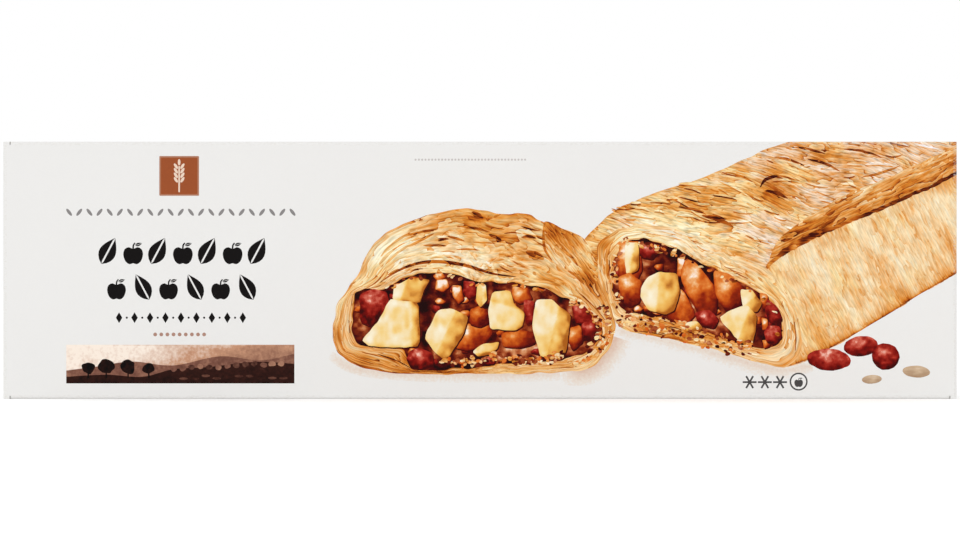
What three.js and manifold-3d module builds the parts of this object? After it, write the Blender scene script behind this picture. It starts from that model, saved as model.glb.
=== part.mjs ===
// A shut folding carton for one long frozen strudel: a printed board blank, creased, folded round its
// contents and glued. It stands on its long narrow side. The front panel faces -Y, X runs along the carton
// and Z is up, with the origin under its middle. The shut carton is one solid. It has the bowed panels, the
// rounded folds, the lap of the back panel over the edge of the base, and at each end an outer flap over an
// inner flap over the folded dust flaps. Everything is in millimetres.

import * as THREE from "three";
import { mergeVertices } from "three/addons/utils/BufferGeometryUtils.js";
import Module from "manifold-3d";

// Driving dimensions
const LENGTH = 370; // from end flap to end flap
const HEIGHT = 100; // of the front panel, over the bow of the top
const DEPTH = 55; // from front to back, over the bows of both panels
const BOARD = 0.6; // thickness of the folding board
const FOLD_RADIUS = 1.2; // outside of a creased fold
const PANEL_BOW = 0.7; // how far the front and the back stand out at their middle
const TOP_BOW = 0.2; // how far the top stands out at its middle

const LAP_LIFT = 0.6; // gap between the cut lower edge of the back panel and the ground
const FLAP_SLIT = 1.6; // from the top or base to the cut side of an end flap
const OUTER_REVEAL = 5; // strip of the inner flap that shows beside the free edge of the outer flap
const INNER_REVEAL = 3; // how far the free edge of the inner flap stops short of the front
const FLAP_TAPER = 3; // by which a flap narrows at each side of its free edge
const TAPER_RUN = 9; // length of that narrowing, back from the free edge
const HINGE_REACH = 14; // how far a flap's solid reaches back along the panel that it hangs on
const HINGE_THICK = 4; // and how deep it goes into the carton there

const FOLD_STEPS = 6; // straight steps in a quarter round
const PANEL_STEPS = 10; // steps across a bowed panel
const BASE_STEPS = 4; // steps across the flat base
const LENGTH_STEPS = 26; // steps along the carton between its end folds
const CUT_MARGIN = 1; // by which a cutting outline passes the board that it cuts
const MERGE_WITHIN = 1e-4; // points closer than this are one

// Worked out from the driving dimensions
const OUTER_END = LENGTH / 2; // outside of the outer flap
const INNER_END = OUTER_END - BOARD; // outside of the inner flap
const DUST_END = INNER_END - BOARD; // outside of the dust flaps
const HALF_DEPTH = DEPTH / 2 - PANEL_BOW; // middle plane to the folds of the front and the back
const TOP = HEIGHT - TOP_BOW; // height of the top's folds
const MIDDLE = TOP / 2;

const wasm = await Module();
wasm.setup();

// A closed three.js geometry as a solid that can be joined and cut.
function solidOf(geometry) {
  const bare = geometry.index ? geometry.toNonIndexed() : geometry.clone();
  bare.deleteAttribute("normal");
  bare.deleteAttribute("uv");
  const merged = mergeVertices(bare, MERGE_WITHIN);
  return new wasm.Manifold(
    new wasm.Mesh({
      numProp: 3,
      vertProperties: merged.attributes.position.array,
      triVerts: new Uint32Array(merged.index.array),
    }),
  );
}

// The solid as a geometry again.
function geometryOf(solid) {
  const mesh = solid.getMesh();
  const positions = new Float32Array(mesh.numVert * 3);
  for (let i = 0; i < mesh.numVert; i++) {
    positions.set(mesh.vertProperties.subarray(i * mesh.numProp, i * mesh.numProp + 3), i * 3);
  }
  const indexed = new THREE.BufferGeometry();
  indexed.setAttribute("position", new THREE.BufferAttribute(positions, 3));
  indexed.setIndex(new THREE.BufferAttribute(new Uint32Array(mesh.triVerts), 1));
  const geometry = indexed.toNonIndexed();
  geometry.computeVertexNormals();
  return geometry;
}

// The outward bow at one point of a panel, from full in its middle to nothing at its folds.
function bowAt(amount, along, halfLength, across, halfWidth) {
  return amount * (1 - (along / halfLength) ** 2) * (1 - (across / halfWidth) ** 2);
}

// Points of a rounded corner, from one angle to another, in degrees from the first axis.
function corner(centreY, centreZ, from, to) {
  return Array.from({ length: FOLD_STEPS + 1 }, (_, i) => {
    const angle = THREE.MathUtils.degToRad(THREE.MathUtils.lerp(from, to, i / FOLD_STEPS));
    return [centreY + FOLD_RADIUS * Math.cos(angle), centreZ + FOLD_RADIUS * Math.sin(angle)];
  });
}

// Points between two ends of a panel, without those ends.
function across(from, to, steps, point) {
  return Array.from({ length: steps - 1 }, (_, i) => point(THREE.MathUtils.lerp(from, to, (i + 1) / steps)));
}

// The outline of the folded board at one place along the carton, as [y, z] points. It runs from the front
// lower fold up the front, over the top, down the back to the cut edge of its lap, and back under the base.
function sectionAt(x) {
  const r = FOLD_RADIUS;
  const baseBack = HALF_DEPTH - BOARD - r; // centre of the base's rear fold, inside the back panel
  const lapAngle = -THREE.MathUtils.radToDeg(Math.asin((r - LAP_LIFT) / r));
  const half = (TOP - 2 * r) / 2;
  const front = (z) => [-HALF_DEPTH - bowAt(PANEL_BOW, x, OUTER_END, z - MIDDLE, half), z];
  const back = (z) => [HALF_DEPTH + bowAt(PANEL_BOW, x, OUTER_END, z - MIDDLE, half), z];
  const top = (y) => [y, TOP + bowAt(TOP_BOW, x, OUTER_END, y, HALF_DEPTH - r)];
  const outline = [
    ...corner(-HALF_DEPTH + r, r, 270, 180),
    ...across(r, TOP - r, PANEL_STEPS, front),
    ...corner(-HALF_DEPTH + r, TOP - r, 180, 90),
    ...across(-HALF_DEPTH + r, HALF_DEPTH - r, PANEL_STEPS, top),
    ...corner(HALF_DEPTH - r, TOP - r, 90, 0),
    ...across(TOP - r, r, PANEL_STEPS, back),
    [HALF_DEPTH, r],
    [HALF_DEPTH, LAP_LIFT],
    ...corner(baseBack, r, lapAngle, -90),
    ...across(baseBack, -HALF_DEPTH + r, BASE_STEPS, (y) => [y, 0]),
  ];
  // The flaps fold in at each end, which rounds the ends of all four panels.
  const intoFold = Math.max(0, Math.abs(x) - (DUST_END - r));
  const shrink = r - Math.sqrt(Math.max(0, r * r - intoFold * intoFold));
  const narrow = 1 - shrink / HALF_DEPTH;
  const low = 1 - shrink / MIDDLE;
  return outline.map(([y, z]) => [y * narrow, MIDDLE + (z - MIDDLE) * low]);
}

// Places along the carton where the outline is taken: close together round the end folds, then even steps.
function stations() {
  const flat = DUST_END - FOLD_RADIUS;
  const ends = Array.from({ length: FOLD_STEPS }, (_, i) => {
    return flat + FOLD_RADIUS * Math.sin(((i + 1) / FOLD_STEPS) * (Math.PI / 2));
  });
  const middle = Array.from({ length: LENGTH_STEPS + 1 }, (_, i) => {
    return THREE.MathUtils.lerp(-flat, flat, i / LENGTH_STEPS);
  });
  return [...ends.map((x) => -x).reverse(), ...middle, ...ends];
}

// The folded tube of the four long panels, closed at both ends by its dust flaps.
function tubeGeometry() {
  const places = stations();
  const rings = places.map(sectionAt);
  const count = rings[0].length;
  const positions = rings.flatMap((ring, i) => ring.flatMap(([y, z]) => [places[i], y, z]));
  const index = [];
  for (let i = 0; i + 1 < rings.length; i++) {
    for (let j = 0; j < count; j++) {
      const a = i * count + j;
      const b = i * count + ((j + 1) % count);
      index.push(a, a + count, b, b, a + count, b + count);
    }
  }
  const last = (rings.length - 1) * count;
  const contour = rings[0].map(([y, z]) => new THREE.Vector2(y, z));
  for (const [a, b, c] of THREE.ShapeUtils.triangulateShape(contour, [])) {
    index.push(a, c, b);
    index.push(last + a, last + b, last + c);
  }
  const geometry = new THREE.BufferGeometry();
  geometry.setAttribute("position", new THREE.Float32BufferAttribute(positions, 3));
  geometry.setIndex(index);
  return geometry;
}

// The bent outline of a flap and its hinge, seen from above. front is -1 for a flap on the front panel and 1
// for one on the back, and side is the end of the carton that it shuts.
function flapBend(side, front, end, freeEdge) {
  const r = FOLD_RADIUS;
  const fold = front * HALF_DEPTH;
  const shape = new THREE.Shape();
  shape.moveTo(side * (end - HINGE_REACH), fold);
  shape.lineTo(side * (end - r), fold);
  for (let i = 1; i <= FOLD_STEPS; i++) {
    const angle = (i / FOLD_STEPS) * (Math.PI / 2);
    shape.lineTo(side * (end - r + r * Math.sin(angle)), fold - front * r * (1 - Math.cos(angle)));
  }
  shape.lineTo(side * end, freeEdge);
  shape.lineTo(side * (end - BOARD), freeEdge);
  shape.lineTo(side * (end - BOARD), fold - front * HINGE_THICK);
  shape.lineTo(side * (end - HINGE_REACH), fold - front * HINGE_THICK);
  return shape;
}

// The outline of a flap seen from the end of the carton, narrowed towards its free edge.
function flapFace(front, freeEdge) {
  const beyond = front * (DEPTH / 2 + CUT_MARGIN);
  const run = freeEdge + front * TAPER_RUN;
  const low = FLAP_SLIT;
  const high = TOP - FLAP_SLIT;
  const shape = new THREE.Shape();
  shape.moveTo(beyond, low);
  shape.lineTo(beyond, high);
  shape.lineTo(run, high);
  shape.lineTo(freeEdge, high - FLAP_TAPER);
  shape.lineTo(freeEdge, low + FLAP_TAPER);
  shape.lineTo(run, low);
  return shape;
}

// A flap with its hinge: the bent board, cut to the flap's outline.
function flapSolid(side, front, end, freeEdge) {
  const bent = new THREE.ExtrudeGeometry(flapBend(side, front, end, freeEdge), {
    depth: HEIGHT,
    bevelEnabled: false,
  });
  const cut = new THREE.ExtrudeGeometry(flapFace(front, freeEdge), { depth: LENGTH, bevelEnabled: false });
  // The flap's outline is drawn on y and z, and runs along x.
  cut.applyMatrix4(new THREE.Matrix4().set(0, 0, 1, -LENGTH / 2, 1, 0, 0, 0, 0, 1, 0, 0, 0, 0, 0, 1));
  return solidOf(bent).intersect(solidOf(cut));
}

function cartonMesh() {
  let solid = solidOf(tubeGeometry());
  for (const side of [-1, 1]) {
    solid = solid.add(flapSolid(side, 1, INNER_END, -HALF_DEPTH + INNER_REVEAL));
    solid = solid.add(flapSolid(side, -1, OUTER_END, HALF_DEPTH - OUTER_REVEAL));
  }
  const coatedBoard = new THREE.MeshStandardMaterial({ color: 0xedecea, roughness: 0.5, metalness: 0 });
  const mesh = new THREE.Mesh(geometryOf(solid), coatedBoard);
  mesh.name = "carton";
  return mesh;
}

const group = new THREE.Group();
group.name = "frozen_strudel_carton";
group.add(cartonMesh());

export default group;
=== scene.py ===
"""A shut carton of frozen apple strudel: one printed board blank, folded up and standing on its long side.

The blank is drawn flat, in millimetres: u runs along the carton and v across its panels. On the front panel
u is measured from the left end and v from the ground. The printed fields are cut into the blank as areas of
its mesh, and then every point of it is folded to its place.
"""

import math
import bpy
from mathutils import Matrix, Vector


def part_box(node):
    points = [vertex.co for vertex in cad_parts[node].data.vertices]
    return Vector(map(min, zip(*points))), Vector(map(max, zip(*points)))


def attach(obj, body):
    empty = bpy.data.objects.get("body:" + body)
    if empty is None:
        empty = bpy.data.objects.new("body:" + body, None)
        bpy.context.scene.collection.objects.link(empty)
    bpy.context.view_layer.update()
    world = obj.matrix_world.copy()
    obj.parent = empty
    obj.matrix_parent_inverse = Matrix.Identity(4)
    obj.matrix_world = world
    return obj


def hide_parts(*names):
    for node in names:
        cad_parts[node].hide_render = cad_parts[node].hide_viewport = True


bl_info = {
    "name": "Frozen Strudel Carton",
    "version": (1, 0, 0),
    "blender": (4, 5, 0),
    "location": "View3D > Sidebar > Carton",
    "description": "Folds and prints a long board carton for a frozen strudel, and sets its stage",
    "category": "Add Mesh",
}

from collections import Counter, namedtuple

import bpy
import numpy as np
from bpy.props import FloatProperty, FloatVectorProperty, PointerProperty
from mathutils import Vector
from mathutils.geometry import delaunay_2d_cdt

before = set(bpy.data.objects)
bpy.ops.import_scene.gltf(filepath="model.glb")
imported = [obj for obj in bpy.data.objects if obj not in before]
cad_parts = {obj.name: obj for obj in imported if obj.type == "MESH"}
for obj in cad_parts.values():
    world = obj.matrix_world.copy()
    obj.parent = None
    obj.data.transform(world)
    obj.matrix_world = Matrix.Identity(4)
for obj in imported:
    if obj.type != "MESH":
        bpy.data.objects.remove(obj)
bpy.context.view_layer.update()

MM = 0.001

FRONT_LIGHT = 1.098  # how much light falls on the front on its stage
FRONT_GLOSS = 0.005  # how much of it comes off the coating, over any ink
DARKEST = 0.001  # what the darkest ink still gives back


def linear(colour):
    """A colour as seen on the stage, from 0 to 255, as the share of the light that its ink gives back."""
    c = np.array(colour) / 255
    seen = np.where(c <= 0.04045, c / 12.92, ((c + 0.055) / 1.055) ** 2.4)
    return tuple(np.maximum((seen - FRONT_GLOSS) / FRONT_LIGHT, DARKEST))


# ---- Sizes, in millimetres unless a unit is given ----

LOW, HIGH = (np.array(corner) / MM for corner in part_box("carton"))
LENGTH, DEPTH, HEIGHT = HIGH - LOW
MIDDLE = LENGTH / 2

TAB = 13.0  # the glue tab inside the back panel
LAP_LIFT = 0.6  # gap between the cut lower edge of the back panel and the ground
OUTER_REVEAL = 5.0  # strip of the inner flap that shows beside the free edge of the outer flap
INNER_REVEAL = 3.0  # how far the inner flap stops short of the front
DUST_FLAP = 24.0  # length of the flaps on the top and the base
SLIT = 0.3  # width of the cuts that part the flaps
REACH = {"base": -0.3, "front": 1.15, "top": -0.3, "back": 1.15}  # of a flap's cut sides past the folds
FLAP_TAPER = 3.0  # by which a flap narrows at each side of its free edge
TAPER_RUN = 9.0
FOLD_STEPS = 6  # straight steps in a quarter round
COARSE = 5.0  # between the points of a bare panel
FINE = 0.77  # between the points of the picture on the front
LESS_FINE = 1.2  # between its points on the top and the end flap
LEAST_FILLED = 5.0  # a painted field at least this wide is filled with such points
FOLD_WEAR = 1.0  # how far from a fold the print is worn
FLAKE_GAP = 0.045  # from a curled flake to its shade, in thicknesses of the crust
FLAP_ROOM = 60.0  # beyond each end of the front, more than an end flap is long
FRAME_WIDTH = 960 / 954  # of the picture, in lengths of the front
SUN_WIDTH = math.radians(50)  # how wide the soft light is, as seen from the carton
SUN_PLACE = (-1.0, -2.0, 2.0)  # in metres, where the lamp is drawn


class CartonSizes(bpy.types.PropertyGroup):
    """Sizes of the folded board, in millimetres."""

    board: FloatProperty(name="Board", description="Thickness of the folding board", default=0.6, min=0.2)
    fold_radius: FloatProperty(name="Fold radius", description="Outside of a creased fold", default=1.2)
    panel_bow: FloatProperty(
        name="Panel bow", description="How far the front and the back stand out at their middle", default=0.7
    )
    top_bow: FloatProperty(
        name="Top bow", description="How far the top stands out at its middle", default=0.2
    )
    waviness: FloatProperty(
        name="Waviness", description="Unevenness of the large panels", default=0.12, min=0.0
    )
    flap_spring: FloatProperty(
        name="Flap spring", description="How far a glued end flap springs up at its free edge", default=0.3
    )


def colour_property(name, colour, description):
    """A colour that can be picked. colour is as it is seen on the stage, from 0 to 255."""
    return FloatVectorProperty(
        name=name, description=description, default=linear(colour), size=3, subtype="COLOR", min=0.0, max=1.0
    )


class PrintColours(bpy.types.PropertyGroup):
    """Colours of the board and of its plain inks."""

    board: colour_property("Board", (237, 236, 234), "Coated outside of the board")
    core: colour_property("Core", (206, 200, 189), "Inside and cut edges of the board")
    black: colour_property("Black", (27, 25, 25), "Large ornaments")
    dark_grey: colour_property("Dark grey", (76, 74, 74), "Marks at the lower edge")
    grey: colour_property("Grey", (140, 137, 136), "Fine ornaments and bars")
    pale_grey: colour_property("Pale grey", (200, 194, 191), "Row of fine dots at the upper edge")
    russet: colour_property("Russet", (176, 138, 122), "Row of dots over the long picture")
    badge: colour_property("Badge", (158, 84, 50), "Square badge")
    badge_edge: colour_property("Badge edge", (176, 122, 96), "Fine border of the badge")
    badge_motif: colour_property("Badge motif", (238, 214, 194), "Ear of wheat on the badge")


class StageSettings(bpy.types.PropertyGroup):
    """Light, floor and camera."""

    floor_size: FloatProperty(name="Floor", description="Width of the floor", default=40.0, unit="LENGTH")
    floor_glow: FloatProperty(
        name="Floor glow", description="Light from under the floor, as a light table gives", default=0.2
    )
    sky: FloatProperty(name="Sky", description="Strength of the even light from all round", default=1.0)
    sun: FloatProperty(name="Sun", description="Strength of the soft light from the front left", default=0.4)
    sun_height: FloatProperty(
        name="Sun height", description="Angle of the soft light over the floor", default=math.radians(40),
        subtype="ANGLE",
    )  # fmt: skip
    sun_side: FloatProperty(
        name="Sun side", description="Angle of the soft light to the left of the camera",
        default=math.radians(25), subtype="ANGLE",
    )  # fmt: skip
    camera_distance: FloatProperty(
        name="Camera distance", description="From the front panel to the camera", default=3.0, unit="LENGTH"
    )


# ---- The blank and how it folds ----


class Blank:
    """The flat blank, and the way each point of it comes to its place in the folded carton.

    Its panels run round the carton: down inside the back (the glue tab), under the base, up the front, over
    the top and down the back. Each has its first v, its length, its start as y and z, and its heading.
    """

    def __init__(self, size):
        self.size = size
        r = size.fold_radius
        self.half_depth = DEPTH / 2 - size.panel_bow
        self.top = HEIGHT - size.top_bow
        self.arc = r * math.pi / 2
        behind = self.half_depth - size.board
        self.names = ["tab", "base", "front", "top", "back"]
        self.lengths = np.array(
            [
                TAB,
                self.half_depth + behind - 2 * r,
                self.top - 2 * r,
                2 * self.half_depth - 2 * r,
                self.top - r - LAP_LIFT,
            ]
        )
        self.starts = np.array(
            [
                (behind, r + TAB),
                (behind - r, 0.0),
                (-self.half_depth, r),
                (-self.half_depth + r, self.top),
                (self.half_depth, self.top - r),
            ]
        )
        self.headings = np.array([(0, -1), (-1, 0), (0, 1), (1, 0), (0, -1)], float)
        before = np.cumsum(self.lengths + self.arc) - self.lengths
        self.firsts = before - before[2] + r
        # On the flaps, where the next panel begins: those of the front and the back reach past their folds.
        self.flap_shares = self.lengths + self.arc * np.array([0.75, 0.25, 0.75, 0.25, 0.75])
        outer = LENGTH / 2 - r
        inner = outer - size.board
        dust = inner - size.board
        # Where each panel's end flap folds, and how long the flap is. The glue tab has none.
        self.flap_folds = np.array([np.inf, dust, outer, dust, inner])
        across = 2 * self.half_depth - r
        outer_flap, inner_flap = across - OUTER_REVEAL, across - INNER_REVEAL
        self.flap_lengths = np.array([1.0, DUST_FLAP, outer_flap, DUST_FLAP, inner_flap])
        self.notch = dust - SLIT

    def panel(self, name):
        """First and last v of a panel, and where its flap folds."""
        i = self.names.index(name)
        return self.firsts[i], self.firsts[i] + self.lengths[i], self.flap_folds[i]

    def on_back(self, outline):
        """An outline on the back, drawn from its left end and from the ground as seen from behind."""
        last = self.panel("back")[1]
        return (LENGTH, last + LAP_LIFT) - outline

    def folded(self, points, inward=0.0):
        """The places, in millimetres, of points of the blank. inward moves them into the board."""
        x = points[:, 0] - MIDDLE
        v = points[:, 1]
        r = self.size.fold_radius
        at = np.clip(np.searchsorted(self.firsts, v + 1e-6, side="right") - 1, 0, len(self.firsts) - 1)
        along = v - self.firsts[at]
        past = along - self.lengths[at]
        # A flap's sides reach flat past the folds, where the panels bend.
        on_flap = np.abs(x) > self.notch
        to_next = on_flap & (along > self.flap_shares[at]) & (at + 1 < len(self.firsts))
        at = at + to_next
        along = np.where(to_next, past - self.arc, along)
        length = self.lengths[at]
        flat = np.where(on_flap, along, np.minimum(along, length))
        bend = np.where(on_flap, 0, np.maximum(along - length, 0) / r)
        head = self.headings[at]
        out = np.stack([-head[:, 1], head[:, 0]], 1)
        normal = out * np.cos(bend)[:, None] + head * np.sin(bend)[:, None]
        yz = self.starts[at] + head * (flat + r * np.sin(bend))[:, None]
        yz = yz - out * (r * (1 - np.cos(bend)))[:, None]
        # The end flaps turn in about their folds.
        over = np.maximum(np.abs(x) - np.where(bend > 0, np.inf, self.flap_folds[at]), 0)
        turn = np.minimum(over / r, math.pi / 2)
        straight = np.maximum(over - self.arc, 0)
        spring = self.size.flap_spring * (at == self.names.index("front"))
        lift = spring * np.clip(straight / self.flap_lengths[at], 0, 1) ** 2
        depth = r * (1 - np.cos(turn)) + straight
        yz = yz + normal * (self.bow(x, v) * (over <= 0) - depth - inward * np.cos(turn))[:, None]
        across = np.abs(x) - over + r * np.sin(turn) + lift - inward * np.sin(turn)
        return np.stack([np.sign(x) * across, yz[:, 0], yz[:, 1]], 1)

    def bow(self, x, v):
        """How far the panels stand out, with their slight waves."""
        total = np.zeros(len(x))
        waves = smooth_noise(np.stack([x, v], 1), 70.0, seed=11) * self.size.waviness
        amounts = {"front": self.size.panel_bow, "top": self.size.top_bow, "back": self.size.panel_bow}
        for name, amount in amounts.items():
            first, last, _ = self.panel(name)
            middle, half = (first + last) / 2, (last - first) / 2
            swell = np.clip(1 - ((v - middle) / half) ** 2, 0, 1) * np.clip(1 - (2 * x / LENGTH) ** 2, 0, 1)
            total += swell * amount + np.sqrt(swell) * waves
        return total

    def wear(self, points):
        """1 on a fold, down to 0 beside it."""
        x = np.abs(points[:, 0] - MIDDLE)
        v = points[:, 1]
        gaps = []
        for first in self.firsts[1:]:
            gaps.append(np.where(x < self.notch, np.abs(v - first + self.arc / 2), np.inf))
        at = np.clip(np.searchsorted(self.firsts, v, side="right") - 1, 0, len(self.firsts) - 1)
        gaps.append(np.abs(x - self.flap_folds[at] - self.arc / 2))
        return np.clip(1 - (np.min(gaps, axis=0) - self.arc / 2) / FOLD_WEAR, 0, 1)

    def normals(self, points):
        """The way out of the board at points of the blank, from the slope of the folded surface."""
        reach = 0.02
        along = self.folded(points + (reach, 0)) - self.folded(points - (reach, 0))
        across = self.folded(points + (0, reach)) - self.folded(points - (0, reach))
        return unit(np.cross(along, across))

    def flap_side(self, name):
        """The cut edge of the flap at the right end of a panel, from its lower to its upper v, as x and v."""
        first, last, fold = self.panel(name)
        reach = fold + self.arc + self.flap_lengths[self.names.index(name)]
        low = first - REACH[name]
        high = last - SLIT if name == "back" else last + REACH[name]
        return [
            (self.notch + SLIT / 2, low),
            (reach - TAPER_RUN, low),
            (reach, low + FLAP_TAPER),
            (reach, high - FLAP_TAPER),
            (reach - TAPER_RUN, high),
            (self.notch + SLIT / 2, high),
        ]

    def outline(self, step):
        """The whole cut edge of the blank, anticlockwise, with points no further apart than step."""
        strip, flap = self.notch - SLIT / 2, self.notch + SLIT / 2
        right = [(strip - FLAP_TAPER, self.firsts[0]), (strip, self.firsts[0] + TAPER_RUN)]
        for name in self.names[1:]:
            first, last, _ = self.panel(name)
            right += [(strip, first - self.arc), (strip, first), (flap, first)]
            right += [*self.flap_side(name), (flap, last)]
        left = [(-x, v) for x, v in reversed(right)]
        return in_steps(np.array(right + left) + (MIDDLE, 0.0), step)

    def creases(self, step):
        """Rows of points along every fold, a few to each, so that it bends round."""
        rows = []
        strip = self.notch - SLIT / 2
        for name in self.names[1:]:
            first, _, fold = self.panel(name)
            side = self.flap_side(name)
            steps = [self.arc * i / FOLD_STEPS for i in range(FOLD_STEPS + 1)]
            for bent in (-FOLD_WEAR, *steps, self.arc + FOLD_WEAR):
                rows.append([(MIDDLE - strip, first - bent), (MIDDLE + strip, first - bent)])
                for u in (MIDDLE - fold - bent, MIDDLE + fold + bent):
                    rows.append([(u, side[0][1]), (u, side[-1][1])])
        return [in_steps(np.array(row), step, closed=False) for row in rows]


# ---- Drawing on the blank ----


def unit(rows):
    """Each row as a vector of length 1."""
    return rows / np.maximum(np.linalg.norm(rows, axis=1, keepdims=True), 1e-12)


def in_steps(corners, step, closed=True):
    """The corners with each side between them cut into equal steps no longer than step."""
    ends = np.roll(corners, -1, axis=0) if closed else corners[1:]
    points = []
    for a, b in zip(corners, ends):
        count = max(1, math.ceil(np.linalg.norm(b - a) / step))
        points += [a + (b - a) * i / count for i in range(count)]
    if not closed:
        points.append(corners[-1])
    return np.array(points)


def curve(points, closed=True, step=FINE):
    """A smooth line through the points (Catmull-Rom), in steps."""
    p = np.array(points, float)
    count = len(p)
    line = []
    for i in range(count if closed else count - 1):
        four = [p[j % count] if closed else p[min(max(j, 0), count - 1)] for j in range(i - 1, i + 3)]
        pieces = max(1, round(np.linalg.norm(four[2] - four[1]) / step))
        for k in range(pieces):
            t = k / pieces
            line.append(
                four[1]
                + 0.5 * t * (four[2] - four[0])
                + 0.5 * t * t * (2 * four[0] - 5 * four[1] + 4 * four[2] - four[3])
                + 0.5 * t**3 * (3 * (four[1] - four[2]) + four[3] - four[0])
            )
    if not closed:
        line.append(p[-1])
    return np.array(line)


def rounded(corners, times=2, cut=0.22):
    """The polygon with its corners cut off, again and again, until they are round."""
    p = np.array(corners, float)
    for _ in range(times):
        after = np.roll(p, -1, axis=0)
        p = np.stack([p * (1 - cut) + after * cut, p * cut + after * (1 - cut)], 1).reshape(-1, 2)
    return p


def turned(points, degrees):
    """The points turned anticlockwise about the place 0, 0."""
    a = math.radians(degrees)
    return points @ np.array([[math.cos(a), math.sin(a)], [-math.sin(a), math.cos(a)]])


def ellipse(u, v, half_width, half_height, turn=0.0, step=FINE):
    """An ellipse about u, v, turned by so many degrees."""
    count = max(10, round(2 * math.pi * max(half_width, half_height) / step))
    a = np.linspace(0, 2 * math.pi, count, endpoint=False)
    return turned(np.stack([half_width * np.cos(a), half_height * np.sin(a)], 1), turn) + (u, v)


def bar(u0, v0, u1, v1, corner=0.5):
    """A rectangle with small rounded corners."""
    c = min(corner, (u1 - u0) / 2.2, (v1 - v0) / 2.2)
    centres = [(u1 - c, v0 + c), (u1 - c, v1 - c), (u0 + c, v1 - c), (u0 + c, v0 + c)]
    points = []
    for quarter, (u, v) in enumerate(centres):
        for step in range(4):
            a = math.radians(90 * (quarter - 1) + 30 * step)
            points.append((u + c * math.cos(a), v + c * math.sin(a)))
    return np.array(points)


def ribbon(points, width, ends=0.0):
    """A band along a smooth line through the points, widest halfway, with ends of that share of its width."""
    line = curve(points, closed=False)
    way = np.gradient(line, axis=0)
    side = unit(np.stack([-way[:, 1], way[:, 0]], 1))
    swell = np.sin(np.linspace(0.03, math.pi - 0.03, len(line))) ** 0.7
    half = side * (width / 2 * (ends + (1 - ends) * swell))[:, None]
    return np.concatenate([line - half, (line + half)[::-1]])


def uneven(outline, amount, size, seed):
    """The outline with small waves, as torn pastry has."""
    return outline + np.stack([smooth_noise(outline, size, seed + k) * amount for k in (0, 1)], 1)


def smooth_noise(points, size, seed):
    """Smooth noise from -1 to 1 over the plane, whose features are about as large as size."""
    table = np.random.default_rng(seed).uniform(-1, 1, (64, 64))
    cell = np.floor(points / size).astype(int)
    part = points / size - cell
    part = part * part * (3 - 2 * part)
    at = [table[(cell[:, 0] + i) % 64, (cell[:, 1] + j) % 64] for i in (0, 1) for j in (0, 1)]
    low = at[0] + (at[1] - at[0]) * part[:, 1]
    high = at[2] + (at[3] - at[2]) * part[:, 1]
    return low + (high - low) * part[:, 0]


def distance(points, line, closed=True):
    """How far each point is from the nearest side of the line."""
    a = line if closed else line[:-1]
    side = (np.roll(line, -1, axis=0) if closed else line[1:]) - a
    length2 = np.maximum((side**2).sum(1), 1e-12)
    best = np.full(len(points), np.inf)
    for start in range(0, len(points), 4000):
        part = points[start : start + 4000, None, :] - a[None]
        t = np.clip((part * side).sum(2) / length2, 0, 1)
        best[start : start + 4000] = np.sqrt(((part - t[..., None] * side) ** 2).sum(2)).min(1)
    return best


def inside(points, outline):
    """Whether each point is inside the outline."""
    hit = np.zeros(len(points), bool)
    for (u0, v0), (u1, v1) in zip(outline, np.roll(outline, -1, axis=0)):
        crosses = (v0 > points[:, 1]) != (v1 > points[:, 1])
        where = u0 + (points[:, 1] - v0) / ((v1 - v0) or 1e-12) * (u1 - u0)
        hit ^= crosses & (points[:, 0] < where)
    return hit


def anticlockwise(outline):
    """The outline, turned round if it runs clockwise."""
    after = np.roll(outline, -1, axis=0)
    area = (outline[:, 0] * after[:, 1] - after[:, 0] * outline[:, 1]).sum()
    return outline if area > 0 else outline[::-1]


def blots(points, rows):
    """Soft patches added up. Each row is where it is, how far it spreads each way, and how strong it is."""
    total = np.zeros(len(points))
    for u, v, wide, high, amount in rows:
        away = ((points[:, 0] - u) / wide) ** 2 + ((points[:, 1] - v) / high) ** 2
        total += amount * np.exp(-away)
    return total


# A printed field: its outline on the blank, the finish that fills it, and a function that takes points and
# gives their tone, from 0 to 1, and their place along and across the grain. The tone is a sum: a first tone,
# patches, noise of some size by its own seed, and what is added near an edge.
Field = namedtuple("Field", "outline finish paint")


def even(tone):
    """A painting of one tone."""
    return lambda points: (np.full(len(points), tone), points)


def shifted(paint, amount):
    """The same painting in a darker or lighter tone."""

    def paint_more(points):
        tone, grain = paint(points)
        return tone + amount, grain

    return paint_more


def plain(outline, finish):
    """A field of one colour."""
    return Field(outline, finish, even(0.5))


def near(gap, reach):
    """1 on a line, and less and less away from it. gap is how far from the line each point is."""
    return np.exp(-gap / reach)


def scorch_fields(scorches, paint, finish):
    """Short dark scorches of a crust."""
    for amount, wide, points in scorches:
        outline = uneven(ribbon(points, wide), 0.16, 1.4, seed=round(points[0][0]))
        yield Field(outline, finish, shifted(paint, amount))


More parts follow.
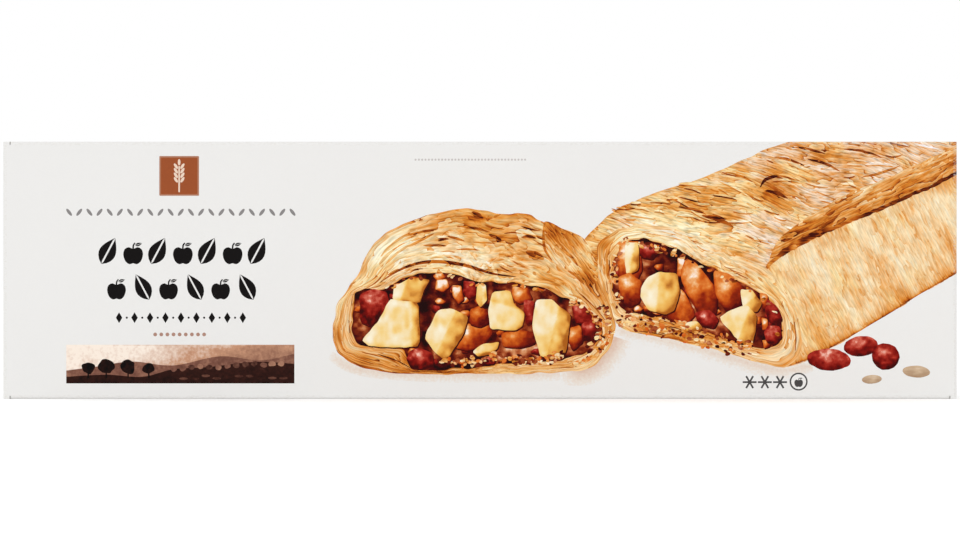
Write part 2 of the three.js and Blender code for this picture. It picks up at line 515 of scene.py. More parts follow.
class Shell:
    """The pastry between two outlines, with places in it by angle round a middle and by depth through it."""

    def __init__(self, outer, inner, middle):
        self.middle = np.array(middle, float)
        self.profiles = []
        for line in (inner, outer):
            angle, radius = self.polar(line)
            order = np.argsort(angle)
            self.profiles.append((angle[order], radius[order]))
        self.girth = self.profiles[0][1].mean()

    def polar(self, points):
        """Angle from straight up, and distance from the middle."""
        away = points - self.middle
        return np.arctan2(away[:, 0], away[:, 1]), np.hypot(away[:, 0], away[:, 1])

    def walls(self, angle):
        """How far the inner and the outer outline are from the middle, at this angle."""
        return [np.interp(angle, a, r, period=2 * math.pi) for a, r in self.profiles]

    def places(self, points):
        """Along the shell, and how far each point is from its inner and its outer outline."""
        angle, radius = self.polar(points)
        inner, outer = self.walls(angle)
        return angle * self.girth, radius - inner, outer - radius

    def point(self, angle, depth):
        """The place at this angle, and this share of the way out from the inner outline to the outer one."""
        inner, outer = self.walls(angle)
        return self.middle + (inner + (outer - inner) * depth) * np.array([math.sin(angle), math.cos(angle)])

    def flakes(self, paint, spans, seed):
        """Thin curled edges of the layers, each a pale band with a dark gap under it."""
        draw = np.random.default_rng(seed)
        for first, last, count in spans:
            for _ in range(count):
                start = math.radians(draw.uniform(first, last))
                depth = draw.uniform(0.1, 0.9)
                reach = draw.uniform(0.1, 0.4)
                slip = draw.uniform(-0.1, 0.1)
                lines = [
                    [self.point(start + reach * t, depth + slip * t - drop) for t in (0, 0.5, 1)]
                    for drop in (FLAKE_GAP, 0)
                ]
                wide = draw.uniform(0.6, 1.2)
                yield Field(ribbon(lines[0], wide), "pastry", shifted(paint, draw.uniform(0.15, 0.45)))
                yield Field(ribbon(lines[1], wide), "pastry", shifted(paint, draw.uniform(-0.22, 0.02)))


# ---- The picture: a cut slice, the strudel behind it, berries and nuts ----

SLICE = [
    (128.2, 27), (129.5, 36), (134, 42.5), (138.5, 50), (142, 57.5), (147.5, 63.5), (156, 68), (168, 72),
    (180, 73.8), (192, 72.3), (203, 71.3), (210, 69), (217, 66.2), (226, 61), (231, 50), (235, 38),
    (237.3, 28), (234.6, 18.6), (226, 11.4), (205, 9.8), (180, 9.6), (155, 9.9), (137.4, 12.8), (129.4, 18.4),
]  # fmt: skip
SLICE_HOLLOW = [
    (136.2, 41), (140.5, 43), (146.5, 42.8), (151, 44), (158, 47.8), (168, 49), (176, 47.8), (184, 45.8),
    (192, 45), (200, 45), (206, 43.6), (211, 42.6), (216.5, 39.8), (222, 37), (227, 33.6), (231, 29.5),
    (231.5, 24), (228, 19.5), (222, 16.6), (212, 14.4), (196, 14), (186, 12.4), (172, 11.4), (162, 11.2),
    (157, 14.6), (155, 19.4), (148, 20), (142, 20), (137, 22.5), (135.4, 27), (136, 34),
]  # fmt: skip
SLICE_LIP = [(146, 45), (153, 49.6), (161, 52.6), (170, 53.2), (180, 51.6), (190, 48.6), (199, 47.4)]
SLICE_HUMP = [
    (210.3, 69), (217, 66.2), (226, 61), (231, 50), (228, 44), (220, 49), (213, 54), (210, 58), (209.4, 64),
]  # fmt: skip
ROLL_TOP = [
    (224, 60), (228, 64.8), (232.4, 68.8), (237, 72.4), (241.8, 75.2), (250, 78.8), (262, 82.6), (272, 86),
    (282, 90.5), (292, 95), (303, 99.6), (320, 107), (345, 118), (372, 130), (430, 156),
]  # fmt: skip
ROLL_BOTTOM = [
    (430, 86), (395, 64.4), (370, 48.8), (355, 40.2), (345, 33.8), (335, 27.9), (325, 22), (312, 15.2),
    (303, 12.2), (293, 14), (278, 18.6), (262, 22.4), (250, 24.8), (240, 27.4), (236, 32),
]  # fmt: skip
ROLL_SEAM = [
    (296, 51), (303, 56.5), (315, 63), (330, 69.5), (345, 76), (360, 82.5), (372, 88.5), (400, 102),
    (430, 116),
]  # fmt: skip
CUT_FACE = [
    (231, 60), (238, 65.5), (248, 67.5), (258, 66.5), (270, 62.5), (283, 56.5), (296.5, 50.5), (304, 41),
    (308.5, 31), (309.5, 20.4), (303.6, 12.3), (293, 14.1), (278, 18.7), (262, 22.5), (250, 24.9),
    (241, 27.3), (236, 32), (233.5, 42), (231, 52),
]  # fmt: skip
ROLL_HOLLOW = [
    (237, 44), (237.5, 55), (243, 61.5), (252, 61.5), (262, 57.5), (272, 52), (283, 47), (293, 41.5),
    (301, 33.5), (302, 23.5), (296, 19.5), (284, 22), (270, 27), (257, 31), (245, 33), (238.5, 37),
]  # fmt: skip
TOP_FLAKES = 84  # loose flakes on the strudel's top
TOP_SPAN = (240, 372)  # and from where to where they lie
SIDE_STREAKS = 34
SIDE_SPAN = (312, 372)
SIDE_POINTS = 9  # as many of the first points of ROLL_BOTTOM are under the side
SIDE_FRONT = [(309.5, 21), (308.5, 31), (304, 41)]  # where the side begins, up along the cut face
BAND_GROWTH = (0, 0.5, 0.8, 1, 1, 1, 1, 1, 1)  # the width of the band over the seam, at the seam's points
BAND_RISE = np.array((-5.5, 8.4))  # from the seam to the upper edge of the band at its full width
UNDER_BAND = [(296.4, 51.6), (303, 57.2), (311, 61.8), (322, 66.8)]  # the dark start of the seam
HUMP_CREASE = [(210.2, 68.2), (209.6, 64), (210.2, 58), (213, 53.5)]
SLICE_MIDDLE = (183.0, 34.0)
ROLL_MIDDLE = (268.0, 40.0)
ROLL_TURN = 26.5  # the way the strudel lies, in degrees
TOP_TURN = 15  # and the way the flakes lie on its top
HUMP_TURN = 52

# Curled flakes of a crust, by angle from straight up: from, to, and how many
SLICE_FLAKES = [(-75, 50, 46), (-110, -75, 6), (-178, -120, 5), (80, 170, 8)]
RIM_FLAKES = [(-70, 70, 20), (90, 135, 4), (-170, -130, 6)]

# Patches of browner (over 0) and paler pastry
SLICE_BAKE = [
    (186, 69, 22, 6, 0.16), (180, 64, 18, 3, 0.08), (197, 59, 9, 4, 0.14), (148, 15, 15, 4, 0.34),
    (162, 57, 28, 4, -0.24), (205, 51, 18, 4, -0.08), (132, 22, 6, 8, 0.18), (198, 12, 26, 2.5, 0.15),
    (184, 70.6, 3.5, 1.2, 0.34), (191, 62.2, 5, 1, 0.3), (204, 62.2, 5, 0.9, 0.34), (206, 55.4, 4, 2, 0.26),
    (216, 49, 8, 6, 0.08), (228, 46, 6, 8, 0.16), (231, 30, 6, 10, 0.16), (186, 58.4, 18, 3, 0.1),
    (168, 10.6, 14, 1.2, 0.45),
]  # fmt: skip
HUMP_BAKE = [(214, 64, 5, 4, 0.28), (222, 60, 6, 4, 0.2), (216, 54, 7, 4, -0.12), (226, 48, 4, 4, 0.15)]
ROLL_BAKE = [
    (248, 73, 12, 4, 0.08), (264, 75, 14, 3, 0.06), (278, 69.6, 9, 1.8, 0.28), (277, 81, 14, 4, 0.05),
    (300, 82, 9, 5, 0.2), (264, 66, 24, 5, -0.24), (288, 58, 12, 4, -0.06), (340, 86, 14, 6, -0.06),
    (293, 91, 14, 4, -0.1), (317, 92.7, 9, 1.5, 0.2), (234, 59, 6, 7, 0.3),
]  # fmt: skip
BAND_BAKE = [(307, 63, 8, 5, 0.14), (322, 73, 10, 5, 0.05)]
RIM_BAKE = [
    (262, 64, 24, 5, -0.08), (290, 54, 16, 5, -0.06), (256, 25, 22, 5, 0.42), (232, 50, 6, 14, 0.24),
    (233, 60, 4, 5, 0.16),
]  # fmt: skip

# Short dark scorches: how much darker, how wide, and points along them
SLICE_SCORCHES = [
    (0.66, 1.6, [(181.6, 72.4), (184, 71.6), (186.2, 70)]),
    (0.6, 1.2, [(188.4, 63.8), (190.6, 62.9), (193.4, 61.6)]),
    (0.7, 1.2, [(201, 62.6), (204, 63), (206.8, 62.4)]),
    (0.3, 2.6, [(202.6, 57), (206.4, 56), (210, 54.2)]),
    (0.3, 1.2, [(216, 58.4), (220, 55.4), (223, 51.6)]),
    (0.3, 1.1, [(219, 49.8), (222.6, 47.4), (225.4, 44.4)]),
    (0.3, 1.1, [(222.6, 50), (226, 46.8), (228.6, 43)]), (0.3, 1.0, [(176, 67), (182, 66.4), (189, 64.8)]),
]  # fmt: skip
ROLL_SCORCHES = [
    (0.5, 1.2, [(293.6, 82), (295.4, 84.8), (299, 86.2), (302.6, 85.4)]),
    (0.42, 1.4, [(295.6, 80.8), (299.4, 80), (304.4, 77.8)]),
    (0.44, 1.0, [(299, 94), (305, 92.8), (311, 90.4)]),
    (0.44, 1.1, [(312, 93), (318.4, 91.4), (324.6, 88.4)]),
    (0.4, 1.0, [(306, 97.6), (312, 97), (319, 95)]), (0.34, 1.0, [(326, 97), (334, 96), (341, 93.6)]),
    (0.3, 1.8, [(271, 71.2), (277, 69.8), (283, 67)]), (0.3, 1.0, [(262, 74.4), (268, 73.4), (273, 71.6)]),
    (0.34, 1.0, [(333, 86), (340, 87.6), (348, 90.4)]), (0.3, 1.0, [(280, 88), (286, 86.6), (291, 84)]),
]  # fmt: skip

# Patches of darker (under 0) and lighter filling
SLICE_FILLING = [
    (165, 42, 6, 5, -0.36), (181, 42, 5, 5, -0.4), (163.5, 31, 2, 9, -0.5), (189, 24, 3, 3, -0.5),
    (203, 34, 3, 6, -0.3), (177, 21, 9, 5, 0.3), (198, 18, 12, 3, 0.35), (222, 23, 5, 7, 0.3),
    (200, 23, 5, 4, 0.15),
]  # fmt: skip
ROLL_FILLING = [
    (259.6, 53, 5, 5, -0.5), (262, 42, 2, 5, -0.2), (241, 46, 5, 8, 0.5), (246, 36, 6, 3, 0.2),
    (262, 34, 8, 4, 0.35), (276, 29, 10, 4, 0.35), (288, 43, 5, 4, 0.2),
]  # fmt: skip

# Fruit from back to front: kind, way to its darker side in degrees, where that side starts, and corners
SLICE_FRUIT = [
    ("gold", -20, 0.3, [(151, 38.5), (151.6, 43.4), (156.5, 46.4), (162, 47), (165.6, 46),
                        (163.2, 42.4), (161.8, 37)]),
    ("pink", -60, 0.6, [(167.4, 42.4), (168.2, 46.4), (171.8, 46.6), (173.4, 43.4), (170.4, 41.4)]),
    ("pink", -30, 0.5, [(174, 43.6), (177.8, 43.8), (178.8, 38.4), (176.6, 36.6), (174.6, 39.8)]),
    ("berry", -70, 0.5, [(178.6, 46), (183, 45.4), (183.8, 40.4), (180.6, 38.4), (178.4, 41)]),
    ("berry", -70, 0.5, [(138.2, 40.6), (143, 42.6), (148.8, 41.6), (149.8, 37.6), (146.4, 32),
                         (142, 28), (138.6, 29.6)]),
    ("amber", -40, 0.5, [(197.6, 43.8), (203.6, 43), (205.6, 38.8), (200.4, 36.6), (197, 39.4)]),
    ("berry", -60, 0.4, [(202, 38.6), (206, 38), (206, 30), (203, 28.6), (201.8, 33)]),
    ("amber", -50, 0.5, [(173.4, 24), (179, 29), (187.6, 30), (190, 25.4), (186.4, 20), (179, 18.8),
                         (174.4, 20)]),
    ("rust", -40, 0.5, [(181.2, 34.8), (184.6, 36), (188.4, 34), (188.6, 29.4), (185, 27.6), (180.8, 29)]),
    ("berry", -40, 0.5, [(220.4, 36), (224.8, 36.6), (228.8, 32.2), (227, 28.6), (222, 29.6)]),
    ("berry", -50, 0.4, [(224.6, 29.6), (230, 31), (231.4, 26), (228.4, 21.6), (224, 24.4)]),
    ("amber", -50, 0.4, [(219.4, 27.4), (224, 28.6), (225, 22), (221, 18.4), (219, 22.6)]),
    ("rust", -30, 0.6, [(193.2, 25.2), (199, 27), (206, 26), (206.4, 21.4), (200, 19.6), (194, 20.2)]),
    ("apple", 0, 0.84, [(150, 38.6), (155.5, 38.2), (161, 37.6), (161.9, 20.3), (152, 20), (142, 20.4),
                        (139, 22.8), (145.6, 30)]),
    ("berry", -60, 0.4, [(157.6, 18.6), (162, 19.6), (166.4, 17.8), (167.2, 13.6), (163, 11.4),
                         (158, 12.2), (156.4, 15.4)]),
    ("gold", -24, 0.5, [(168.4, 34.2), (173.8, 35.2), (180.6, 32.4), (178.6, 24.8), (173.8, 17.6),
                        (171.2, 15), (166, 19.6), (163.4, 24)]),
    ("apple", 180, 0.4, [(184.1, 44.6), (187.2, 44.6), (187.6, 38.4), (185.2, 35.6), (183.4, 38)]),
    ("gold", 74, 0.62, [(190, 41.6), (197, 42), (198.2, 37), (202.4, 33.4), (201.8, 28.4), (199, 26.6),
                        (188.8, 27), (188.2, 34.8)]),
    ("gold", -14, 0.56, [(206.6, 38.4), (212.4, 38.8), (216, 36), (220.2, 32.6), (219.4, 25), (218, 17),
                         (213, 15.2), (208.2, 17), (205.2, 28)]),
    ("apple", -80, 0.7, [(182, 18.4), (185.6, 21.2), (192.2, 22), (192, 19.6), (189.2, 17.4),
                         (184.4, 16.2)]),
]  # fmt: skip
ROLL_FRUIT = [
    ("amber", -60, 0.4, [(238.4, 57), (240.8, 61.4), (247, 61), (248, 50), (244, 42), (238.6, 44)]),
    ("berry", -40, 0.5, [(246.8, 60), (252, 60.6), (254.6, 57.4), (252, 54), (247, 55)]),
    ("gold", -10, 0.5, [(241, 60.4), (246.6, 60.8), (246.8, 50), (241.6, 47.8)]),
    ("amber", -60, 0.4, [(238.4, 47), (243, 49.4), (248, 45), (247, 37.6), (243, 35.2), (239.6, 38)]),
    ("pink", -70, 0.6, [(261.6, 55), (264.6, 54.6), (264.2, 47.4), (261.4, 47.4)]),
    ("amber", -60, 0.55, [(264.6, 54.6), (269, 52.6), (277.4, 42), (277, 33.6), (271, 31), (265.4, 40),
                          (262.6, 48)]),
    ("amber", 200, 0.6, [(259, 44.4), (264, 42), (268.6, 33), (265.4, 28.8), (258, 30.6), (256, 37)]),
    ("amber", -40, 0.55, [(275.4, 50), (282, 48.6), (288, 42.6), (286.4, 36.4), (280.4, 33.6),
                          (276.6, 40)]),
    ("berry", -60, 0.4, [(268.4, 33.6), (274, 34.8), (277.6, 31), (275.6, 27.2), (269.6, 28.8)]),
    ("gold", -6, 0.42, [(250, 47.4), (254.4, 49.4), (261.4, 48.6), (262.6, 42), (260.6, 34.4),
                        (257, 32.6), (250, 34.6), (247, 39.4), (247.4, 43)]),
    ("amber", -50, 0.5, [(293.4, 41.4), (296.4, 40.6), (297.6, 36.4), (294.4, 34.6)]),
    ("berry", -50, 0.4, [(296.4, 38.6), (300.2, 36), (302.4, 31), (300, 28.2), (296.6, 30.4),
                         (295.6, 34.4)]),
    ("pink", -50, 0.5, [(294.2, 31.6), (296.6, 31), (296.8, 27), (294.4, 26.6)]),
    ("berry", -50, 0.4, [(297, 28.8), (301.4, 28), (302, 24), (299.4, 21.2), (296, 22.2), (295, 26)]),
    ("gold", -50, 0.5, [(286, 42.6), (290.4, 42.2), (294.4, 37.4), (292.6, 33.4), (287, 35)]),
    ("apple", -20, 0.6, [(277.6, 31.4), (282, 34.4), (288.6, 36.6), (292.6, 32), (291.4, 24),
                         (290, 19.6), (284.6, 23.4)]),
    ("gold", -60, 0.4, [(264.6, 29.4), (269, 30.4), (271.4, 27.4), (268.4, 25.4), (265, 26.4)]),
]  # fmt: skip
BITS = ("berry", "amber", "berry", "pink", "amber")  # kinds of the small bits, in turn
BIT_RADII = (1.1, 2.3)
BIT_STRETCH = (1.2, 0.9)
BIT_MARGIN = 1.6  # of the filling, without bits
DARK_PATCH = -0.2  # a patch of the filling darker than this has no bits
# Kinds of crumb: finish, and least and greatest tone
CRUMBS = [
    ("pastry", 0.35, 0.8), ("filling", 0.18, 0.5), ("amber", 0.5, 0.85), ("pastry", 0.2, 0.6),
    ("filling", 0.5, 0.8),
]  # fmt: skip
# Where crumbs lie: how many, how far they scatter, the seed of their places, and points along them
CRUMB_LINES = [
    (100, 1.1, 131, [(170, 14), (180, 14.4), (194, 15.4), (206, 15), (216, 16)]),
    (60, 0.8, 132, [(242, 33), (256, 30.6), (268, 27.6), (282, 23), (290, 20.6)]),
    (56, 0.8, 133, [(220, 38.4), (226, 34.6), (231, 29.6), (231.6, 24), (228, 19.6)]),
    (30, 0.4, 134, [(148, 42.4), (158, 46.6), (170, 47.8), (184, 44.6), (200, 43.8), (212, 40.8)]),
    (44, 0.9, 135, [(240, 36), (237.4, 44), (237.8, 54), (242, 60.6)]),
    (30, 0.4, 136, [(246, 60.4), (261.4, 56.2), (282.4, 45.8), (292.2, 40.4), (300, 32.8), (301, 24)]),
    (44, 0.9, 139, [(230, 38), (234.4, 31), (234.4, 24), (230, 17), (221, 13.2)]),
    (96, 1.1, 137, [(239, 31), (250, 28), (264, 25), (276, 21.6), (288, 17.8)]),
    (24, 0.8, 138, [(247.6, 60), (254, 58.6), (260, 56.4)]),
]
# Where a berry lies, its half width and half height, how it is turned and how light it is
LOOSE_BERRIES = [
    (320.4, 15.2, 8.6, 4.3, -4, 0.36), (332.8, 20.4, 6.6, 4.1, 6, 0.28), (342.4, 16.4, 5.5, 5.2, -30, 0.16),
]  # fmt: skip
# Where a nut lies, its half width and half height, and how it is turned
NUTS = [(337, 7.6, 4, 1.7, 4), (354.3, 10.6, 5.4, 2.3, -4)]
# Shade on the ground: how strong it is, how far it reaches, and points along it
SHADOWS = [
    (0.4, 3.0, [(127, 17), (137, 11.6), (160, 9.6), (190, 9.4), (220, 10), (234, 15)]),
    (1.0, 7.6, [(216, 10.4), (225, 11.6), (232, 16), (237, 22), (241, 30), (243, 38)]),
    (0.5, 4.0, [(236, 27), (250, 23.8), (262, 21.2), (278, 17.2), (293, 12.8), (303, 11), (314, 13)]),
]


def shadow_fields():
    """Warm shade on the ground under the slice and the strudel."""
    for strength, reach, points in SHADOWS:
        line = curve(points, closed=False)
        first, last = points[0][0], points[-1][0]

        def paint(p, line=line, first=first, last=last, strength=strength, reach=reach):
            ends = np.clip((p[:, 0] - first) / reach, 0, 1) * np.clip(1 + (last - p[:, 0]) / reach, 0, 1)
            return strength * ends * np.clip(1 - distance(p, line, closed=False) / reach, 0, 1) ** 1.4, p

        yield Field(ribbon(points, 2 * reach, 0.5), "shadow", paint)


def hollow_fields(hollow, patches, bits, seed):
    """The filling with the small bits in it. patches has where it is darker (under 0) or lighter."""

    def paint(p):
        tone = 0.38 + 0.28 * smooth_noise(p, 4.0, seed) + 0.3 * smooth_noise(p, 1.8, seed + 1)
        return tone + blots(p, patches) - 0.28 * near(distance(p, hollow), 1.4), p

    yield Field(hollow, "filling", paint)
    draw = np.random.default_rng(seed)
    places = draw.uniform(hollow.min(0), hollow.max(0), (4 * bits, 2))
    places = places[inside(places, hollow)]
    free = (distance(places, hollow) > BIT_MARGIN) & (blots(places, patches) > DARK_PATCH)
    for i, (u, v) in enumerate(places[free][:bits]):
        angles = (np.arange(6) + draw.uniform(-0.25, 0.25, 6)) * math.pi / 3
        radii = draw.uniform(*BIT_RADII, 6)
        wide, high = BIT_STRETCH
        corners = np.stack([u + radii * np.cos(angles) * wide, v + radii * np.sin(angles) * high], 1)
        piece = Piece(draw.uniform(-90, 0), 0.5, corners, seed + 10 * i, wave=0.15)
        yield piece.shade()
        yield from FRUIT_KINDS[BITS[i % len(BITS)]](piece)


def slice_fields():
    """The slice: its crust with curled flakes, the hump at its right, its lip and its filling."""
    crust = uneven(curve(SLICE), 0.5, 4.0, 21)
    hollow = uneven(curve(SLICE_HOLLOW), 0.6, 3.0, 22)
    shell = Shell(crust, hollow, SLICE_MIDDLE)

    def paint(p):
        along, inner, outer = shell.places(p)
        grain = np.stack([along, 16 * inner / (inner + outer)], 1)
        tone = 0.36 + blots(p, SLICE_BAKE) + 0.1 * smooth_noise(grain / (3, 1), 4.0, 31)
        tone += 0.08 * smooth_noise(p, 5.0, 32) + 0.16 * near(outer, 1.0) + 0.2 * near(inner, 0.7)
        return tone, grain

    def paint_hump(p):
        tone, _ = paint(p)
        return tone + blots(p, HUMP_BAKE) + 0.02, turned(p, HUMP_TURN)

    yield Field(crust, "pastry", paint)
    yield from shell.flakes(paint, SLICE_FLAKES, seed=24)
    yield Field(uneven(curve(SLICE_HUMP), 0.3, 3.0, 25), "pastry", paint_hump)
    yield Field(ribbon(HUMP_CREASE, 1.1), "pastry", shifted(paint, 0.34))
    yield Field(ribbon(SLICE_LIP, 1.4), "pastry", shifted(paint, 0.62))
    yield from scorch_fields(SLICE_SCORCHES, paint, "pastry")
    yield from hollow_fields(hollow, SLICE_FILLING, bits=50, seed=41)


class Roll:
    """The strudel behind the slice: its outlines, and how each part of it is painted."""

    def __init__(self):
        self.top_line = curve(ROLL_TOP, closed=False)
        self.bottom_line = curve(ROLL_BOTTOM, closed=False)
        self.seam = curve(ROLL_SEAM, closed=False)
        self.body = uneven(np.concatenate([self.top_line, self.bottom_line]), 0.4, 5.0, 51)
        self.cut = uneven(curve(CUT_FACE), 0.5, 3.5, 53)
        self.hollow = uneven(curve(ROLL_HOLLOW), 0.6, 3.0, 54)
        self.shell = Shell(self.cut, self.hollow, ROLL_MIDDLE)

    def paint_top(self, p):
        """Flaky, and darker along the upper edge. Its grain sways."""
        edge = distance(p, self.top_line, closed=False)
        sway = 3.0 * smooth_noise(p, 26.0, 60)
        tone = 0.42 + blots(p, ROLL_BAKE) + 0.13 * smooth_noise(p / (2, 1), 5.0, 61)
        tone += 0.08 * smooth_noise(p, 3.0, 62) + 0.16 * near(edge, 1.2)
        return tone, turned(p, TOP_TURN) + np.stack([0 * edge, sway], 1)

    def paint_band(self, p):
        """Browner than the top, but for where it begins."""
        gap = distance(p, self.seam, closed=False)
        start = np.clip((p[:, 0] - 294) / 10, 0, 1)
        tone = 0.49 + start * (0.24 - 0.04 * np.abs(gap - 2.2)) + 0.08 * smooth_noise(p, 4.0, 63)
        return tone + blots(p, BAND_BAKE), turned(p, -ROLL_TURN)

    def paint_side(self, p):
        """Pale and smooth, with its grain across the strudel, and darker towards the ground."""
        local = turned(p, -ROLL_TURN)
        gap = distance(p, self.seam, closed=False)
        low = distance(p, self.bottom_line, closed=False)
        tone = 0.32 + 0.13 * smooth_noise(local / (1, 2.4), 5.0, 71) + 0.07 * smooth_noise(p, 3.0, 72)
        tone += 0.42 * near(low, 0.7) + 0.22 * near(low, 7) + 0.1 * near(gap, 1.5)
        return tone, np.stack([local[:, 1], local[:, 0]], 1)

    def paint_seam(self, p):
        """Nearly black, with paler gaps."""
        return 0.94 + 0.3 * smooth_noise(p, 3.2, 74), p

    def paint_rim(self, p):
        """Pale layers round the filling, darker at its edge."""
        along, inner, outer = self.shell.places(p)
        grain = np.stack([along, 7 * inner / (inner + outer)], 1)
        tone = 0.34 + blots(p, RIM_BAKE) + 0.08 * smooth_noise(grain / (2.5, 1), 3.0, 73)
        return tone + 0.2 * near(inner, 0.7) + 0.06 * near(outer, 0.8), grain

    def top_fields(self, draw):
        """The top with its curled flakes and scorches, and the band that laps over the side."""
        yield Field(self.body, "pink_pastry", self.paint_top)
        for _ in range(TOP_FLAKES):
            u = draw.uniform(*TOP_SPAN)
            low_line = ROLL_SEAM if u > ROLL_SEAM[0][0] else CUT_FACE[1:7]
            middle, reach = streak(draw, u, low_line, ROLL_TOP, (0.12, 0.95), (-30, 4), (3, 12))
            bulge = (0, draw.uniform(-0.5, 0.9))
            line = np.array([middle - reach / 2, middle + bulge, middle + reach / 2])
            wide = draw.uniform(0.6, 1.3)
            for drop, least, most in ((0.6, 0.12, 0.42), (0, -0.22, 0.02)):
                tone = shifted(self.paint_top, draw.uniform(least, most))
                yield Field(ribbon(line - (0, drop), wide), "pink_pastry", tone)
        yield from scorch_fields(ROLL_SCORCHES, self.paint_top, "pink_pastry")
        upper = [tuple(point + BAND_RISE * share) for point, share in zip(np.array(ROLL_SEAM), BAND_GROWTH)]
        band = np.concatenate([self.seam, curve(upper, closed=False)[::-1]])
        yield Field(uneven(band, 0.35, 3.0, 56), "pastry", self.paint_band)

    def side_fields(self, draw):
        """The smooth side with faint streaks across it, and the dark seam over it."""
        low_edge = curve(ROLL_BOTTOM[:SIDE_POINTS], closed=False)
        side = np.concatenate([self.seam, low_edge, SIDE_FRONT])
        yield Field(side, "smooth_pastry", self.paint_side)
        low_line = ROLL_BOTTOM[SIDE_POINTS - 1 :: -1]
        for _ in range(SIDE_STREAKS):
            u = draw.uniform(*SIDE_SPAN)
            middle, reach = streak(draw, u, low_line, ROLL_SEAM, (0.12, 0.88), (98, 132), (3, 8))
            line = np.array([middle - reach / 2, middle + (0.5, 0), middle + reach / 2])
            tone = shifted(self.paint_side, draw.uniform(-0.1, 0.16))
            yield Field(ribbon(line, draw.uniform(0.7, 1.6)), "smooth_pastry", tone)
        seam = uneven(ribbon(ROLL_SEAM, 1.5, 0.8), 0.35, 1.6, 75)
        yield Field(seam, "smooth_pastry", self.paint_seam)
        under_band = uneven(ribbon(UNDER_BAND, 2.2, 0.4), 0.3, 1.6, 76)
        yield Field(under_band, "smooth_pastry", shifted(self.paint_seam, -0.05))

    def cut_fields(self):
        """The cut face: the rim of pastry with curled flakes, and the filling."""
        yield Field(self.cut, "pastry", self.paint_rim)
        yield from self.shell.flakes(self.paint_rim, RIM_FLAKES, seed=58)
        yield from hollow_fields(self.hollow, ROLL_FILLING, bits=36, seed=81)


def streak(draw, u, low_line, high_line, shares, ways, reaches):
    """A short line at u between two lines, at random: its middle, and how far it reaches as a vector."""
    low, high = (np.interp(u, *np.transpose(line)) for line in (low_line, high_line))
    middle = np.array((u, low + (high - low) * draw.uniform(*shares)))
    way = math.radians(draw.uniform(*ways))
    return middle, draw.uniform(*reaches) * np.array([math.cos(way), math.sin(way)])


def roll_fields():
    """The strudel behind the slice. One row of draws serves its top and then its side."""
    roll = Roll()
    draw = np.random.default_rng(57)
    yield from roll.top_fields(draw)
    yield from roll.side_fields(draw)
    yield from roll.cut_fields()


class Piece:
    """A piece of fruit: its outline, and where points lie on it."""

    def __init__(self, way, start, corners, seed, wave=0.24):
        self.start, self.seed = start, seed
        self.outline = uneven(in_steps(rounded(corners, 2, 0.11), FINE), wave, 2.4, seed)
        self.toward = np.array([math.cos(math.radians(way)), math.sin(math.radians(way))])
        reach = self.outline @ self.toward
        self.first, self.span = reach.min(), np.ptp(reach)
        low, high = self.outline.min(0), self.outline.max(0)
        self.middle, self.size = (low + high) / 2, high - low

    def side(self, p):
        """0 on its lit face, then 1 where its darker side starts, up to 2 at that side's far edge."""
        part = (p @ self.toward - self.first) / self.span - self.start
        return np.clip(part / 0.04, 0, 1) + np.clip(part / max(1 - self.start, 0.01), 0, 1)

    def rim(self, p, wide):
        """From 0 at its edge up to 1 this far in."""
        return np.clip(distance(p, self.outline) / wide, 0, 1)

    def mottle(self, p, size):
        """Noise of its own."""
        return smooth_noise(p, size, self.seed + 5)

    def shade(self):
        """The dark gap round and under it."""
        return Field((self.outline - self.middle) * 1.005 + self.middle + (0.35, -0.5), "filling", even(0.16))


def apple_fields(piece, level=0.76):
    """A cut piece of apple: a pale face, a darker side, and edges that turn golden away from the light."""
    away = np.array([0.8, -0.6]) / piece.size.max()

    def paint(p):
        side = piece.side(p)
        tone = level - 0.26 * np.minimum(side, 1) - 0.24 * np.maximum(side - 1, 0)
        tone += 0.22 * piece.mottle(p, 3.4) + 0.14 * piece.mottle(p / (1, 1.8), 1.6)
        tone -= 0.34 * np.clip((p - piece.middle) @ away, -0.5, 0.5)
        edge = 0.06 + 0.4 * np.clip(0.4 + (p - piece.middle) @ away, 0, 1)
        return tone - edge * (1 - piece.rim(p, 2.0)) ** 1.7, p

    yield Field(piece.outline, "apple", paint)


def gold_fields(piece):
    """A piece of apple that has stewed golden."""
    yield from apple_fields(piece, 0.7)


def amber_fields(piece, level=0.62):
    """A soft, see-through piece of stewed apple, with a wet shine on its upper left."""
    toward_light = np.array([-0.35, 0.8]) / piece.size.max()
    place = piece.middle + (-0.14, 0.16) * piece.size
    shine = [(*place, *(0.16 * piece.size), 0.2)]

    def paint(p):
        side = piece.side(p)
        tone = level - 0.1 * np.minimum(side, 1) - 0.3 * np.maximum(side - 1, 0)
        tone += 0.5 * (p - piece.middle) @ toward_light + blots(p, shine)
        tone += 0.12 * piece.mottle(p / (1, 2), 2.4) + 0.08 * piece.mottle(p, 1.1)
        return tone - 0.2 * (1 - piece.rim(p, 1.2)) ** 1.5, p

    yield Field(piece.outline, "amber", paint)


def rust_fields(piece):
    """A darker, redder piece of stewed apple."""
    yield from amber_fields(piece, 0.46)


def pink_fields(piece):
    """A pale piece with a wet shine."""

    def paint(p):
        tone = 1.0 - 0.2 * piece.side(p) + 0.14 * piece.mottle(p, 1.4)
        return tone - 0.4 * (1 - piece.rim(p, 1.0)) ** 2, p

    yield Field(piece.outline, "amber", paint)


def berry_fields(piece, level=0.26):
    """A dried berry, with a soft light on its upper left."""
    wide, high = piece.size
    u, v = piece.middle
    shine = [(u - wide * 0.16, v + high * 0.2, wide * 0.22, high * 0.14, 0.26)]

    def paint(p):
        tone = level + 0.26 * piece.rim(p, min(wide, high) / 2.4) + blots(p, shine)
        tone += 0.56 * (p[:, 1] - v) / high
        return tone + 0.24 * piece.mottle(p, 2.0) + 0.16 * piece.mottle(p, 1.0), p

    yield Field(piece.outline, "berry", paint)


